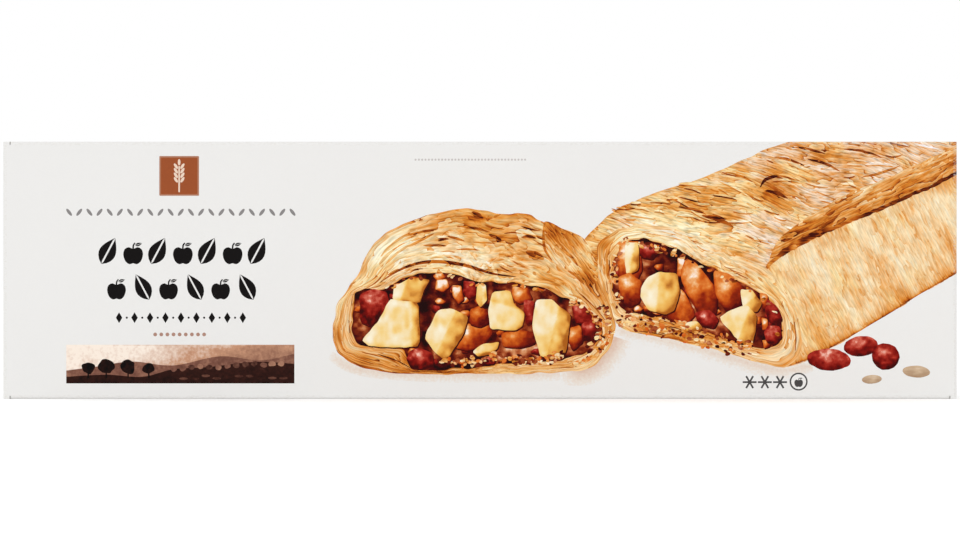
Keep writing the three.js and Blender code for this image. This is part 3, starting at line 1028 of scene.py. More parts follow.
FRUIT_KINDS = {
    "apple": apple_fields,
    "gold": gold_fields,
    "amber": amber_fields,
    "rust": rust_fields,
    "pink": pink_fields,
    "berry": berry_fields,
}


def nut_fields(piece):
    """A peeled nut, paler above."""

    def paint(p):
        return 0.25 + 0.4 * piece.rim(p, 1.5) + 0.6 * (p[:, 1] - piece.middle[1]) / piece.size[1], p

    yield Field(piece.outline, "nut", paint)


def fruit_fields():
    """The fruit in the fillings, and the berries and nuts that lie beside the strudel."""
    for seed, (kind, *shape) in enumerate(SLICE_FRUIT + ROLL_FRUIT):
        piece = Piece(*shape, seed)
        yield piece.shade()
        yield from FRUIT_KINDS[kind](piece)
    for seed, (*place, level) in enumerate(LOOSE_BERRIES, 100):
        yield from berry_fields(Piece(-60, 0.5, ellipse(*place, step=2.4), seed), level)
    for seed, place in enumerate(NUTS, 110):
        yield from nut_fields(Piece(-60, 0.5, ellipse(*place, step=1.6), seed, wave=0.15))


def crumb_fields():
    """Crumbs of pastry and fruit with dark gaps between them, scattered along the edges of the fillings."""
    for count, scatter, seed, points in CRUMB_LINES:
        draw = np.random.default_rng(seed)
        line = curve(points, closed=False)
        for i in range(count):
            u, v = line[draw.integers(len(line))] + draw.normal(0, scatter, 2)
            shape = ellipse(u, v, draw.uniform(0.5, 1.3), draw.uniform(0.35, 0.8), draw.uniform(-40, 40))
            finish, low, high = CRUMBS[i % len(CRUMBS)]
            yield Field(uneven(shape, 0.32, 1.0, i), finish, even(draw.uniform(low, high)))


# ---- The rest of the print: ornaments, and bars where a pack has its words ----


BADGE = 15.4  # side of the square badge
ORNAMENT = (9, 5, 62)  # length, width and turn of a leaf on the smaller panels
SMALL_APPLE = 3.0
SEVEN_PLACES = [46 + 8.4 * i for i in range(7)]  # along the top and the back, of leaves and apples
WORD_HEIGHT = 1.1
LINE_STEP = 2.6  # from one line of words to the next


def leaf(u, v, length, width, turn):
    """A leaf as its two halves, with a fine gap along its middle."""
    t = np.linspace(0, 1, 10)
    edge = np.stack([length * (t - 0.5), width / 2 * np.sin(math.pi * t**0.8)], 1)
    vein = np.stack([edge[1:-1, 0], np.full(len(t) - 2, width * 0.05)], 1)
    for flip in (1, -1):
        yield turned(np.concatenate([edge, vein[::-1]]) * (1, flip), turn) + (u, v)


APPLE_HALF = [(0, -0.9), (0.36, -1.0), (0.76, -0.72), (0.98, -0.06), (0.84, 0.5), (0.42, 0.7), (0, 0.52)]


def apple(u, v, size):
    """An apple in outline, with a stem and a leaf."""
    half = np.array(APPLE_HALF)
    whole = np.concatenate([half, half[-2:0:-1] * (-1, 1)]) * size + (u, v - 0.12 * size)
    yield curve(whole, step=size / 5)
    stem = [(u, v + 0.3 * size), (u + 0.02 * size, v + 0.75 * size), (u + 0.2 * size, v + size)]
    yield ribbon(stem, 0.16 * size, 0.8)
    yield from leaf(u + 0.55 * size, v + 0.86 * size, 0.75 * size, 0.34 * size, 18)


def wheat(u, v, height):
    """An ear of wheat: a stem with paired grains and one on top."""
    yield ribbon([(u, v - height / 2), (u, v), (u, v + height * 0.3)], height * 0.05, 0.9)
    for row in range(4):
        for way in (-1, 1):
            place = (u + way * height * 0.1, v - height * 0.12 + row * height * 0.14)
            yield ellipse(*place, height * 0.1, height * 0.042, 90 - way * 34, step=height / 12)
    yield ellipse(u, v + height * 0.42, height * 0.1, height * 0.042, 90, step=height / 12)


def filled(outlines, finish):
    """A field of one colour for each outline."""
    return [plain(outline, finish) for outline in outlines]


def leaves_and_apples(places, leaf_v, leaf_shape, apple_v, size, apples_first=False):
    """A row of leaves and apples in turn."""
    for i, u in enumerate(places, apples_first):
        yield from filled(apple(u, apple_v, size) if i % 2 else leaf(u, leaf_v, *leaf_shape), "black")


def dots(u0, u1, v, radius, gap, finish):
    """A row of dots from u0 to u1, with middles about this far apart."""
    count = round((u1 - u0) / gap) + 1
    for u in np.linspace(u0, u1, count):
        yield plain(ellipse(u, v, radius, radius, step=radius / 1.6), finish)


def diamonds(u0, u1, v, height, count, finish):
    """A row of upright diamonds with a dot between each two."""
    places = np.linspace(u0, u1, count)
    for u in places:
        corners = [(u - height * 0.3, v), (u, v - height / 2), (u + height * 0.3, v), (u, v + height / 2)]
        yield plain(np.array(corners), finish)
    first, last = (places[0] + places[1]) / 2, (places[-2] + places[-1]) / 2
    yield from dots(first, last, v, height * 0.1, places[1] - places[0], finish)


def crystal(u, v, radius):
    """A crystal of ice with six arms, as one outline."""
    thick = radius * 0.13
    points = []
    for i in range(6):
        arm = [(2 * thick, -thick), (radius, -thick), (radius, thick), (2 * thick, thick)]
        points.append(turned(np.array(arm), 60 * i))
    return np.concatenate(points) + (u, v)


def badge_fields(u, v):
    """A brown square with a fine border and an ear of wheat."""
    for finish, share in (("badge_edge", 1.0), ("badge", 0.92)):
        half = BADGE / 2 * share
        yield plain(bar(u - half, v - half, u + half, v + half, 0.3), finish)
    yield from filled(wheat(u, v, BADGE * 0.82), "badge_motif")


def strip_fields():
    """A long brown picture of an orchard on hills, peach to its left and dark to its right."""
    left, low, right, high = 24.5, 6.0, 113.0, 21.0

    def sky(p):
        part = np.clip((p[:, 0] - left) / (right - left), 0, 1)
        return 0.97 - 0.4 * np.clip(part * 1.6 - 0.3, 0, 1) + 0.12 * (p[:, 1] - 13) / 8, p

    def hill(line, tone, fade=0.0):
        shape = np.concatenate([[(line[0][0], low)], curve(line, closed=False), [(line[-1][0], low)]])
        return Field(shape, "sepia", lambda p: (tone + fade * (p[:, 1] - low) / 10, p))

    far = [(left, 11), (36, 12.5), (50, 14.5), (66, 13), (84, 16.5), (100, 15), (right, 17.5)]
    close = [(left, 8.6), (40, 9.4), (54, 8.6), (66, 11.5), (80, 12.4), (98, 14.4), (right, 13.6)]
    yield Field(bar(left, low, right, high, 0.1), "sepia", sky)
    yield hill(far, 0.5)
    yield hill(close, 0.14, fade=0.1)
    draw = np.random.default_rng(90)
    for u, v, size in [(33, 12, 2.2), (40, 12.6, 2.8), (48.5, 12.4, 2.6), (56.5, 11.8, 2.0)]:
        yield Field(bar(u - 0.3, 8, u + 0.3, v, 0.1), "sepia", even(0.04))
        yield Field(uneven(ellipse(u, v, size * 1.1, size), 0.5, 1.6, int(u)), "sepia", even(0.06))
    for i in range(13):
        bush = ellipse(66 + 3.5 * i, 11.8 + 0.16 * i + draw.uniform(-0.5, 0.5), 1.3, 1.1)
        yield Field(uneven(bush, 0.3, 1.2, i), "sepia", even(draw.uniform(0.3, 0.62)))
    for i in range(10):
        tuft = ellipse(70 + 4.3 * i, 8.4 + draw.uniform(-0.6, 0.6), 1.7, 0.5)
        yield Field(tuft, "sepia", even(draw.uniform(0.2, 0.4)))


def front_fields():
    """Ornaments where the front has its words."""
    yield from badge_fields(68.3, 86.5)
    for i in range(23):
        yield plain(ellipse(25.6 + 3.94 * i, 72.4, 1.7, 0.62, 52 if i % 2 else -52), "grey")
    upper = [40.8 + 9.65 * i for i in range(7)]
    yield from leaves_and_apples(upper, 57.4, (11.5, 6.6, 62), 56.6, 3.9)
    lower = [44.0 + 10.1 * i for i in range(6)]
    yield from leaves_and_apples(lower, 43.4, (11.2, 6.2, 118), 42.7, 3.7, apples_first=True)
    yield from diamonds(45, 93, 31.5, 4.2, 9, "black")
    yield from dots(59, 78, 25, 0.75, 2.3, "russet")
    yield from strip_fields()
    yield from dots(160, 202.5, 92.8, 0.42, 1.3, "pale_grey")
    for u in (289.6, 295.5, 301.4):
        yield plain(crystal(u, 6.5, 2.7), "dark_grey")
    yield plain(ellipse(308.6, 6.7, 3.5, 3.5), "dark_grey")
    yield Field(ellipse(308.6, 6.7, 2.9, 2.9), "bare_board", even(0.0))
    yield from filled(apple(308.6, 6.5, 1.7), "dark_grey")


def paragraph(u, v, width, lines, seed):
    """A block of words as lines of bars. v is its upper edge."""
    draw = np.random.default_rng(seed)
    for i in range(lines):
        end = u + width * (draw.uniform(0.5, 0.8) if i == lines - 1 else draw.uniform(0.93, 1.0))
        start = u
        while start < end:
            stop = min(start + draw.uniform(3, 9), end)
            yield plain(bar(start, v - LINE_STEP * i - WORD_HEIGHT, stop, v - LINE_STEP * i, 0.2), "grey")
            start = stop + 1.0


def table_of_values(left, high):
    """Nine rules with a name and two values, as bars, between each two."""
    for row in range(9):
        v = high - 5.2 * row
        yield plain(bar(left, v - 0.15, left + 64, v + 0.15, 0.05), "grey")
        if row < 8:
            name_width = 14 + 7 * (row * 3 % 4)
            yield plain(bar(left + 1, v - 3.3, left + 1 + name_width, v - 2.1, 0.2), "grey")
            for column in (left + 38, left + 53):
                yield plain(bar(column, v - 3.3, column + 7, v - 2.1, 0.2), "grey")


def till_bars(left, low, right, high):
    """Bars for a reader at a till, of uneven widths that stand for nothing, on a bare field."""
    draw = np.random.default_rng(77)
    yield Field(bar(left, low, right, high, 0.5), "bare_board", even(0.0))
    u = left + 4.0
    while u < right - 4:
        wide = draw.uniform(0.35, 1.2)
        yield plain(bar(u, low + 3, u + wide, high - 2, 0.05), "black")
        u += wide + draw.uniform(0.4, 1.1)


def back_fields(blank):
    """The back, drawn as it is seen from behind."""
    for field in back_print():
        yield field._replace(outline=blank.on_back(field.outline))


def back_print():
    """What the back carries, in places from its left end and from the ground."""
    yield from badge_fields(24, 80)
    yield from leaves_and_apples(SEVEN_PLACES, 80, ORNAMENT, 79.4, SMALL_APPLE)
    yield from paragraph(16, 66, 88, 8, 201)
    yield from paragraph(16, 40, 88, 7, 202)
    yield from paragraph(118, 84, 86, 13, 203)
    yield from table_of_values(218, 84)
    yield from paragraph(118, 40, 86, 4, 204)
    for i in range(3):
        yield plain(crystal(228 + 10 * i, 28, 3.4), "dark_grey")
    yield from till_bars(300, 12, 352, 44)
    yield from paragraph(300, 84, 52, 9, 205)
    yield from paragraph(16, 17, 150, 2, 206)


def top_fields(blank):
    """The top: a badge with ornaments to its right, and a row of diamonds."""
    first, last, _ = blank.panel("top")
    middle = (first + last) / 2
    yield from leaves_and_apples(SEVEN_PLACES, middle + 5, ORNAMENT, middle + 4.4, SMALL_APPLE)
    yield from diamonds(50, 92, middle - 7.2, 3.6, 8, "black")
    yield from badge_fields(22, middle)
    yield from diamonds(152, 262, middle, 4.2, 17, "grey")


def base_fields(blank):
    """The base: a badge between two rows of diamonds."""
    first, last, _ = blank.panel("base")
    middle = (first + last) / 2
    yield from diamonds(60, 155, middle, 4.2, 12, "grey")
    yield from badge_fields(MIDDLE, middle)
    yield from diamonds(LENGTH - 155, LENGTH - 60, middle, 4.2, 12, "grey")


def flap_fields(blank):
    """The flap at the left end."""
    u = MIDDLE - blank.panel("front")[2] - blank.arc - 24
    yield from badge_fields(u, 66)
    yield from leaves_and_apples((u - 9, u, u + 9), 48, ORNAMENT, 47.4, SMALL_APPLE)
    yield from diamonds(u - 15, u + 15, 35, 3.0, 7, "black")
    yield from dots(u - 10, u + 10, 28.5, 0.6, 2.0, "grey")


def print_fields(blank):
    """Every printed field, from the undermost to the topmost."""
    yield from shadow_fields()
    yield from roll_fields()
    yield from slice_fields()
    yield from fruit_fields()
    yield from crumb_fields()
    yield from front_fields()
    yield from back_fields(blank)
    yield from top_fields(blank)
    yield from base_fields(blank)
    yield from flap_fields(blank)


# ---- Finishes ----

# The colours of each painted finish by tone, as they are seen on the stage
PAINTS = {
    "pastry": [
        (0.0, (253, 245, 224)), (0.18, (247, 227, 186)), (0.35, (241, 204, 151)), (0.5, (230, 168, 98)),
        (0.65, (214, 133, 50)), (0.8, (180, 90, 28)), (0.92, (124, 52, 18)), (1.0, (70, 24, 12)),
    ],
    "apple": [
        (0, (172, 96, 32)), (0.2, (228, 160, 70)), (0.4, (242, 193, 102)), (0.6, (247, 214, 142)),
        (0.8, (249, 230, 188)), (1, (253, 244, 218)),
    ],
    "amber": [
        (0, (84, 10, 4)), (0.3, (152, 44, 12)), (0.55, (207, 95, 30)), (0.75, (229, 136, 62)),
        (0.9, (244, 192, 136)), (1, (253, 236, 222)),
    ],
    "filling": [
        (0, (36, 8, 6)), (0.25, (76, 18, 10)), (0.5, (126, 44, 22)), (0.7, (172, 86, 48)),
        (0.9, (216, 148, 100)), (1, (236, 192, 160)),
    ],
    "berry": [
        (0, (62, 8, 6)), (0.3, (124, 22, 14)), (0.6, (174, 50, 38)), (0.85, (216, 112, 92)),
        (1, (246, 198, 182)),
    ],
    "nut": [(0, (170, 138, 108)), (0.5, (204, 176, 146)), (1, (232, 214, 188))],
    "sepia": [
        (0, (18, 8, 7)), (0.25, (58, 32, 27)), (0.5, (128, 86, 72)), (0.75, (200, 150, 120)),
        (1, (252, 238, 224)),
    ],
}  # fmt: skip
# How the grain changes a paint's tone: amount, size along and size across, of streaks and of blotches
GRAIN = {
    "pastry": ((0.28, 7.0, 0.5), (0.14, 10.0, 4.0)),
    "pink_pastry": ((0.22, 7.0, 0.5), (0.14, 10.0, 4.0)),
    "smooth_pastry": ((0.16, 5.0, 0.6), (0.14, 9.0, 4.0)),
    "filling": ((0.25, 2.0, 1.5), (0.2, 5.0, 4.0)),
    "amber": ((0.2, 2.0, 2.0), (0.1, 5.0, 4.0)),
    "apple": ((0.12, 2.4, 2.4), (0.08, 6.0, 6.0)),
    "berry": ((0.2, 1.2, 1.2), (0.1, 3.0, 3.0)),
    "nut": ((0.3, 2.4, 0.8), (0.1, 3.0, 3.0)),
    "sepia": ((0.12, 1.2, 1.2), (0.1, 5.0, 5.0)),
}
INK_GRAIN = ((0.3, 0.8, 0.8), (0.3, 30.0, 30.0))
WORN = (222, 219, 213)  # the board's core as it shows in the cracks along the folds
COATED = (0.34, 0.46)  # least and greatest roughness of printed board, and of the rest
BARE = (0.4, 0.55)
UNCOATED = (0.8, 0.95)
COATING_SHINE = 0.06
FIBRES = (700, 1100, 1100)  # of the board, to a metre each way
FIBRE_BUMP = 0.12
FIBRE_DEPTH = 0.00006
CRACKS = (900, 2600, 2600)  # along the folds, to a metre each way
PLATES_ALONG = 0.07  # thin plates of a crust, to a millimetre
PLATES_ACROSS = 0.42
ROW_SHIFT = 0.37  # of each row of plates along the one under it, in plates
PLATE_EDGE = 0.2  # how wide a plate's dark edge is, in plates
EDGE_TONE = 0.28  # and by how much it is darker
PLATE_TONE = 0.11  # by how much a plate may be darker or paler than the rest
SHADE_STOPS = [(0.3, (233, 222, 211)), (1.0, (220, 188, 168))]  # on the ground, as they are seen
INK_RANGE = 0.06  # an ink's share more light at tone 0, and less at tone 1
YELLOWER = (1.0, 0.98, 0.84)  # what a crust's yellower patches keep of each light
PINK_FROM = 0.085  # along the carton in metres, where a pinker crust begins to set in
PINK_TO = 0.135  # and where it is all there
# How each pastry is baked: how strongly its layers show, what its pinker patches keep of each light, how much
# more of them there are to the left and to the right, and how much its fine streaks darken it
Crust = namedtuple("Crust", "plates pinker left right streaks")
CRUSTS = {
    "pastry": Crust(1.0, (1.0, 0.99, 1.0), 0.0, 0.1, 0.5),
    "pink_pastry": Crust(1.0, (0.97, 1.0, 1.3), -0.14, 0.08, 0.8),
    "smooth_pastry": Crust(0.45, (1.0, 0.99, 1.0), 0.0, 0.1, 0.34),
}
MOST_LIT = 1.1  # by which a crust's palest streaks are lighter than it


def ramp_stops(name, colours):
    """Positions and colours of a finish's ramp: the shade's, a paint's own, the bare board's or an ink's."""
    if name == "shadow":
        return [(0.0, tuple(colours.board))] + [(position, linear(shade)) for position, shade in SHADE_STOPS]
    paint_name = "pastry" if name in CRUSTS else name
    if paint_name in PAINTS:
        return [(position, linear(colour)) for position, colour in PAINTS[paint_name]]
    ink = np.array(getattr(colours, {"bare_board": "board", "board_core": "core"}.get(name, name)))
    spread = INK_RANGE / 4 if name == "bare_board" else INK_RANGE
    return [(0.0, tuple(ink * (1 + spread))), (1.0, tuple(ink * (1 - spread)))]


class Finish:
    """A new material, and short ways to add nodes to it. Most give the output of the new node."""

    def __init__(self, name):
        self.material = bpy.data.materials.new(name)
        self.material.use_nodes = True
        self.tree = self.material.node_tree
        self.shader = self.tree.nodes["Principled BSDF"]

    def put(self, node, values):
        """Fills sockets of a node, by name or number, with outputs of other nodes or with plain values."""
        for name, value in values.items():
            if isinstance(value, bpy.types.NodeSocket):
                self.tree.links.new(value, node.inputs[name])
            else:
                node.inputs[name].default_value = value

    def add(self, kind, values, **properties):
        node = self.tree.nodes.new("ShaderNode" + kind)
        for name, value in properties.items():
            setattr(node, name, value)
        self.put(node, values)
        return node

    def place(self):
        """The place on the object, in metres."""
        return self.add("TexCoord", {}).outputs["Object"]

    def attribute(self, name):
        return self.add("Attribute", {}, attribute_name=name).outputs["Fac"]

    def noise(self, vector, scale, start, detail=3.0):
        mapping = self.add("Mapping", {"Vector": vector, "Scale": scale, "Location": start})
        values = {"Vector": mapping.outputs["Vector"], "Scale": 1.0, "Detail": detail}
        return self.add("TexNoise", values).outputs["Fac"]

    def ranged(self, value, low, high, to_low, to_high):
        """The value between low and high, brought to between to_low and to_high."""
        values = {"Value": value, "From Min": low, "From Max": high, "To Min": to_low, "To Max": to_high}
        return self.add("MapRange", values).outputs["Result"]

    def math(self, operation, first, second=0.0):
        return self.add("Math", {0: first, 1: second}, operation=operation).outputs["Value"]

    def sum(self, first, *others):
        for other in others:
            first = self.math("ADD", first, other)
        return first

    def parts(self, vector):
        return self.add("SeparateXYZ", {"Vector": vector}).outputs

    def ramp(self, value, stops):
        node = self.add("ValToRGB", {"Fac": value})
        elements = node.color_ramp.elements
        while len(elements) < len(stops):
            elements.new(0.5)
        for element, (position, colour) in zip(elements, stops):
            element.position = position
            element.color = (*colour, 1.0)
        return node.outputs["Color"]

    def mixed(self, first, second, share, blend="MIX"):
        values = {"Factor": share, "A": first, "B": second}
        return self.add("Mix", values, data_type="RGBA", blend_type=blend).outputs["Result"]


def layers(finish, grain, strength):
    """Thin plates of pastry that lap over each other: the tone of each, its shading and its broken edge."""
    parts = finish.parts(grain)
    warp = finish.ranged(finish.noise(grain, (0.08, 0.2, 1), (9.1, 4.4, 0.3)), 0.3, 0.7, 0.0, 2.6)
    across = finish.sum(finish.math("MULTIPLY", parts["Y"], PLATES_ACROSS), warp)
    row = finish.math("FLOOR", across)
    ragged = finish.ranged(finish.noise(grain, (0.3, 0.5, 1), (5.2, 2.1, 0.4)), 0.3, 0.7, 0.0, 0.8)
    shift = finish.math("MULTIPLY", row, ROW_SHIFT)
    along = finish.sum(finish.math("MULTIPLY", parts["X"], PLATES_ALONG), ragged, shift)
    plate = finish.add("CombineXYZ", {"X": finish.math("FLOOR", along), "Y": row})
    chance = finish.add("TexWhiteNoise", {}, noise_dimensions="2D")
    finish.put(chance, {"Vector": plate.outputs["Vector"]})
    own = finish.ranged(chance.outputs["Value"], 0.0, 1.0, -PLATE_TONE * strength, PLATE_TONE * strength)
    step = finish.math("FRACT", across)
    edge = finish.ranged(step, 0.0, PLATE_EDGE, 1.0, 0.0)
    gaps = finish.noise(grain, (0.25, 0.4, 1), (1.7, 8.2, 0.9))
    broken = finish.ranged(gaps, 0.46, 0.6, 0.0, EDGE_TONE * strength)
    shading = finish.ranged(step, 0.0, 1.0, 0.08 * strength, -0.12 * strength)
    return finish.sum(finish.math("MULTIPLY", edge, broken), own, shading)


def baked(finish, colour, grain, crust):
    """The colour of a crust with its patches of yellower and pinker brown, and its fine darker streaks."""
    patches = finish.noise(grain, (1 / 16, 1 / 7, 1), (2.2, 6.1, 0.7))
    right = finish.ranged(finish.parts(finish.place())["X"], PINK_FROM, PINK_TO, crust.left, crust.right)
    tint = finish.ramp(finish.sum(patches, right), [(0.4, YELLOWER), (0.6, crust.pinker)])
    fine = finish.noise(grain, (1 / 3.6, 1 / 0.6, 1), (4.1, 0.8, 0.2))
    brightest = 0.5 + 0.4 * (MOST_LIT - 1) / crust.streaks
    streaks = finish.ranged(fine, 0.3, brightest, 1 - crust.streaks / 2, MOST_LIT)
    return finish.mixed(finish.mixed(colour, tint, 1.0, "MULTIPLY"), streaks, 1.0, "MULTIPLY")


def worn(finish, colour):
    """The colour with fine cracks along the folds, where the board's core shows."""
    cracks = finish.noise(finish.place(), CRACKS, (0, 0, 0))
    share = finish.sum(finish.attribute("wear"), finish.ranged(cracks, 0.4, 0.75, -1.1, -0.4))
    return finish.mixed(colour, (*linear(WORN), 1.0), finish.ranged(share, 0.0, 0.5, 0.0, 0.5))


def printed(name, colours):
    """The material of one finish: its ramp by tone, cracks at the folds, and the grain of coated board."""
    finish = Finish(name)
    tone = finish.attribute("tone")
    grain = finish.add("UVMap", {}, uv_map="grain").outputs["UV"]
    for i, (amount, along, across) in enumerate(GRAIN.get(name, INK_GRAIN)):
        layer = finish.noise(grain, (1 / along, 1 / across, 1), (3.7 * i, 1.3 * i, 0.5))
        tone = finish.sum(tone, finish.ranged(layer, 0.3, 0.7, -amount / 2, amount / 2))
    if name in CRUSTS:
        tone = finish.sum(tone, layers(finish, grain, CRUSTS[name].plates))
    colour = finish.ramp(tone, ramp_stops(name, colours))
    if name in CRUSTS:
        colour = baked(finish, colour, grain, CRUSTS[name])
    if name != "board_core":
        colour = worn(finish, colour)
    fibres = finish.noise(finish.place(), FIBRES, (0, 0, 0), detail=5.0)
    roughness = {"board_core": UNCOATED, "bare_board": BARE}.get(name, COATED)
    bump = finish.add("Bump", {"Strength": FIBRE_BUMP, "Distance": FIBRE_DEPTH, "Height": fibres})
    finish.put(
        finish.shader,
        {
            "Base Color": colour,
            "Roughness": finish.ranged(fibres, 0.3, 0.7, *roughness),
            "Specular IOR Level": COATING_SHINE,
            "Normal": bump.outputs["Normal"],
        },
    )
    return finish.material


def white_floor(glow):
    """Matt white with a faint mottling, lit a little from under it."""
    finish = Finish("floor_white")
    mottling = finish.noise(finish.place(), (3, 3, 3), (0, 0, 0))
    finish.put(
        finish.shader,
        {
            "Base Color": finish.ramp(mottling, [(0.0, (0.79,) * 3), (1.0, (0.81,) * 3)]),
            "Roughness": finish.ranged(mottling, 0.3, 0.7, 0.7, 0.8),
            "Emission Color": (1.0, 1.0, 1.0, 1.0),
            "Emission Strength": glow,
        },
    )
    return finish.material


# ---- The carton's mesh ----


class Drawing:
    """Points, lines and areas to be made into triangles. The first area is the board itself."""

    def __init__(self, edge):
        self.points = []
        self.edges = []
        self.areas = []
        self.edge = edge
        self.add_area(edge)

    def add_area(self, outline):
        start = len(self.points)
        self.points += [tuple(p) for p in anticlockwise(outline)]
        self.areas.append(list(range(start, len(self.points))))

    def add_line(self, row):
        start = len(self.points)
        self.points += [tuple(p) for p in row]
        self.edges += [(start + i, start + i + 1) for i in range(len(row) - 1)]

    def add_loose(self, points):
        """Points of the board that fill out its areas. Those near its cut edge are left out."""
        points = points[inside(points, self.edge)]
        self.points += [tuple(p) for p in points[distance(points, self.edge) > FINE / 2]]

    def triangles(self):
        """Places, triangles, each triangle's topmost area, and the points that each place was made of."""
        found = delaunay_2d_cdt([Vector(p) for p in self.points], self.edges, self.areas, 0, 1e-4, True)
        places = np.array([tuple(p) for p in found[0]])
        kept = [i for i, areas in enumerate(found[5]) if 0 in areas]
        faces = np.array([found[2][i] for i in kept])
        topmost = np.array([max(found[5][i]) for i in kept])
        used, faces = np.unique(faces, return_inverse=True)
        return places[used], faces.reshape(-1, 3), topmost, [found[3][i] for i in used]


def grid(low, high, step):
    """Points of a triangular grid in a box."""
    points = []
    for i, v in enumerate(np.arange(low[1], high[1], step * math.sqrt(3) / 2)):
        us = np.arange(low[0] + (i % 2) * step / 2, high[0], step)
        points.append(np.stack([us, np.full(len(us), v)], 1))
    return np.concatenate(points)


def whole_grid(blank, step):
    """Points of a triangular grid all over the blank."""
    high = blank.panel("back")[1]
    return grid((-FLAP_ROOM, blank.firsts[0]), (LENGTH + FLAP_ROOM, high), step)


def picture_boxes(blank):
    """Where the picture lies on the front, the flap and the top: two corners, and the step between points."""
    front, top = blank.panel("front"), blank.panel("top")
    return (
        ((120, 2), (LENGTH, front[1]), FINE),
        ((LENGTH + 3, 40), (LENGTH + FLAP_ROOM, 96), LESS_FINE),
        ((290, top[0]), (LENGTH - 4, top[1]), LESS_FINE),
    )


def printed_skin(blank, fields):
    """The outside of the board, with every field cut into it."""
    drawing = Drawing(blank.outline(2.0))
    for field in fields:
        drawing.add_area(field.outline)
    for row in blank.creases(COARSE):
        drawing.add_line(row)
    drawing.add_loose(whole_grid(blank, COARSE))
    painted = [field.outline for field in fields if field.finish in GRAIN or field.finish == "shadow"]
    masses = [outline for outline in painted if np.ptp(outline, axis=0).min() >= LEAST_FILLED]
    for low, high, step in picture_boxes(blank):
        fine = grid(low, high, step)
        within = np.zeros(len(fine), bool)
        for outline in masses:
            within |= inside(fine, outline)
        drawing.add_loose(fine[within])
    return drawing.triangles()


def cut_edge(faces):
    """The corners round the cut edge of a skin, in order."""
    sides = Counter()
    for a, b, c in faces.tolist():
        sides.update([(a, b), (b, c), (c, a)])
    after = {a: b for a, b in sides if (b, a) not in sides}
    loop = [next(iter(after))]
    while len(loop) < len(after):
        loop.append(after[loop[-1]])
    if len(set(loop)) != len(after):
        raise RuntimeError("the board's cut edge isn't one loop")
    return np.array(loop)


def inner_skin(blank, edge):
    """The inside of the board, whose cut edge has the same corners as that of the outside."""
    drawing = Drawing(edge)
    for row in blank.creases(COARSE):
        drawing.add_line(row)
    drawing.add_loose(whole_grid(blank, 2 * COARSE))
    places, faces, _, origins = drawing.triangles()
    loop = np.full(len(edge), -1)
    for i, origin in enumerate(origins):
        for j in origin:
            if j < len(edge):
                loop[j] = i
    if (loop < 0).any():
        raise RuntimeError("the inside of the board misses a corner of its cut edge")
    return places, faces, loop


def painted_corners(fields, flat, faces, topmost):
    """Tone and grain at each corner of the printed skin."""
    corners = faces.reshape(-1)
    tone = np.full(len(corners), 0.5)
    grain = flat[corners].copy()
    owner = np.repeat(topmost, 3)
    for i, field in enumerate(fields, 1):
        rows = np.flatnonzero(owner == i)
        if len(rows):
            used, back = np.unique(corners[rows], return_inverse=True)
            tones, places = field.paint(flat[used])
            tone[rows] = tones[back]
            grain[rows] = places[back]
    return np.clip(tone, 0, 1), grain


def rim_triangles(a, b, c, d):
    """Two triangles for each piece of a rim: a and b are its ends on the one side, c and d on the other."""
    return np.concatenate([np.stack([b, a, c], 1), np.stack([b, c, d], 1)])


# The map for baked pictures, in shares of its width and height. The outside takes most of it: these are the
# places of the blank's left end, the front's two ends and the blank's right end, and the same from below.
BAKE_ACROSS = (0.005, 0.06, 0.94, 0.995)
BAKE_UP = (0.16, 0.28, 0.68, 0.995)
BAKE_MARGIN = 0.005
BAKE_INSIDE = (0.445, 0.135)  # width and height of the inside, in the lower left corner
BAKE_RIM = (0.5, 0.01)  # where the rim along the cut edge begins, which is laid in rows
RIM_ROWS = 20
RIM_ROW_LENGTH = 0.45
RIM_ROW_STEP = 0.0068
RIM_WIDTH = 0.005


def bake_places(blank, flat, under, rim_ends):
    """A map without overlaps: the outside laid out flat, with its front the largest, and small strips for the
    inside and for the rim. rim_ends has the two ends of each piece of the rim."""
    low, high = flat.min(0), flat.max(0)
    first, last, _ = blank.panel("front")
    across = np.interp(flat[:, 0], [low[0], 0, LENGTH, high[0]], BAKE_ACROSS)
    up = np.interp(flat[:, 1], [low[1], first, last, high[1]], BAKE_UP)
    within = (under - low) / (high - low) * BAKE_INSIDE + BAKE_MARGIN
    lengths = np.linalg.norm(rim_ends[1] - rim_ends[0], axis=1)
    starts = np.cumsum(lengths) - lengths
    row_length = lengths.sum() / RIM_ROWS
    row = np.floor(starts / row_length)
    left, foot = BAKE_RIM
    a = np.stack([left + RIM_ROW_LENGTH * (starts / row_length - row), foot + RIM_ROW_STEP * row], 1)
    b = a + np.stack([RIM_ROW_LENGTH * lengths / row_length, np.zeros(len(row))], 1)
    rim = rim_triangles(a, b, a - (0, RIM_WIDTH), b - (0, RIM_WIDTH)).reshape(-1, 2)
    return np.stack([across, up], 1), within, rim


def add_layer(mesh, name, kind, domain, values):
    """Adds a named attribute to a mesh, and fills it."""
    mesh.attributes.new(name, kind, domain).data.foreach_set("value", values)


def add_map(mesh, name, places):
    """Adds a UV map to a mesh, with a place for each corner of its faces."""
    mesh.uv_layers.new(name=name).uv.foreach_set("vector", places.ravel())


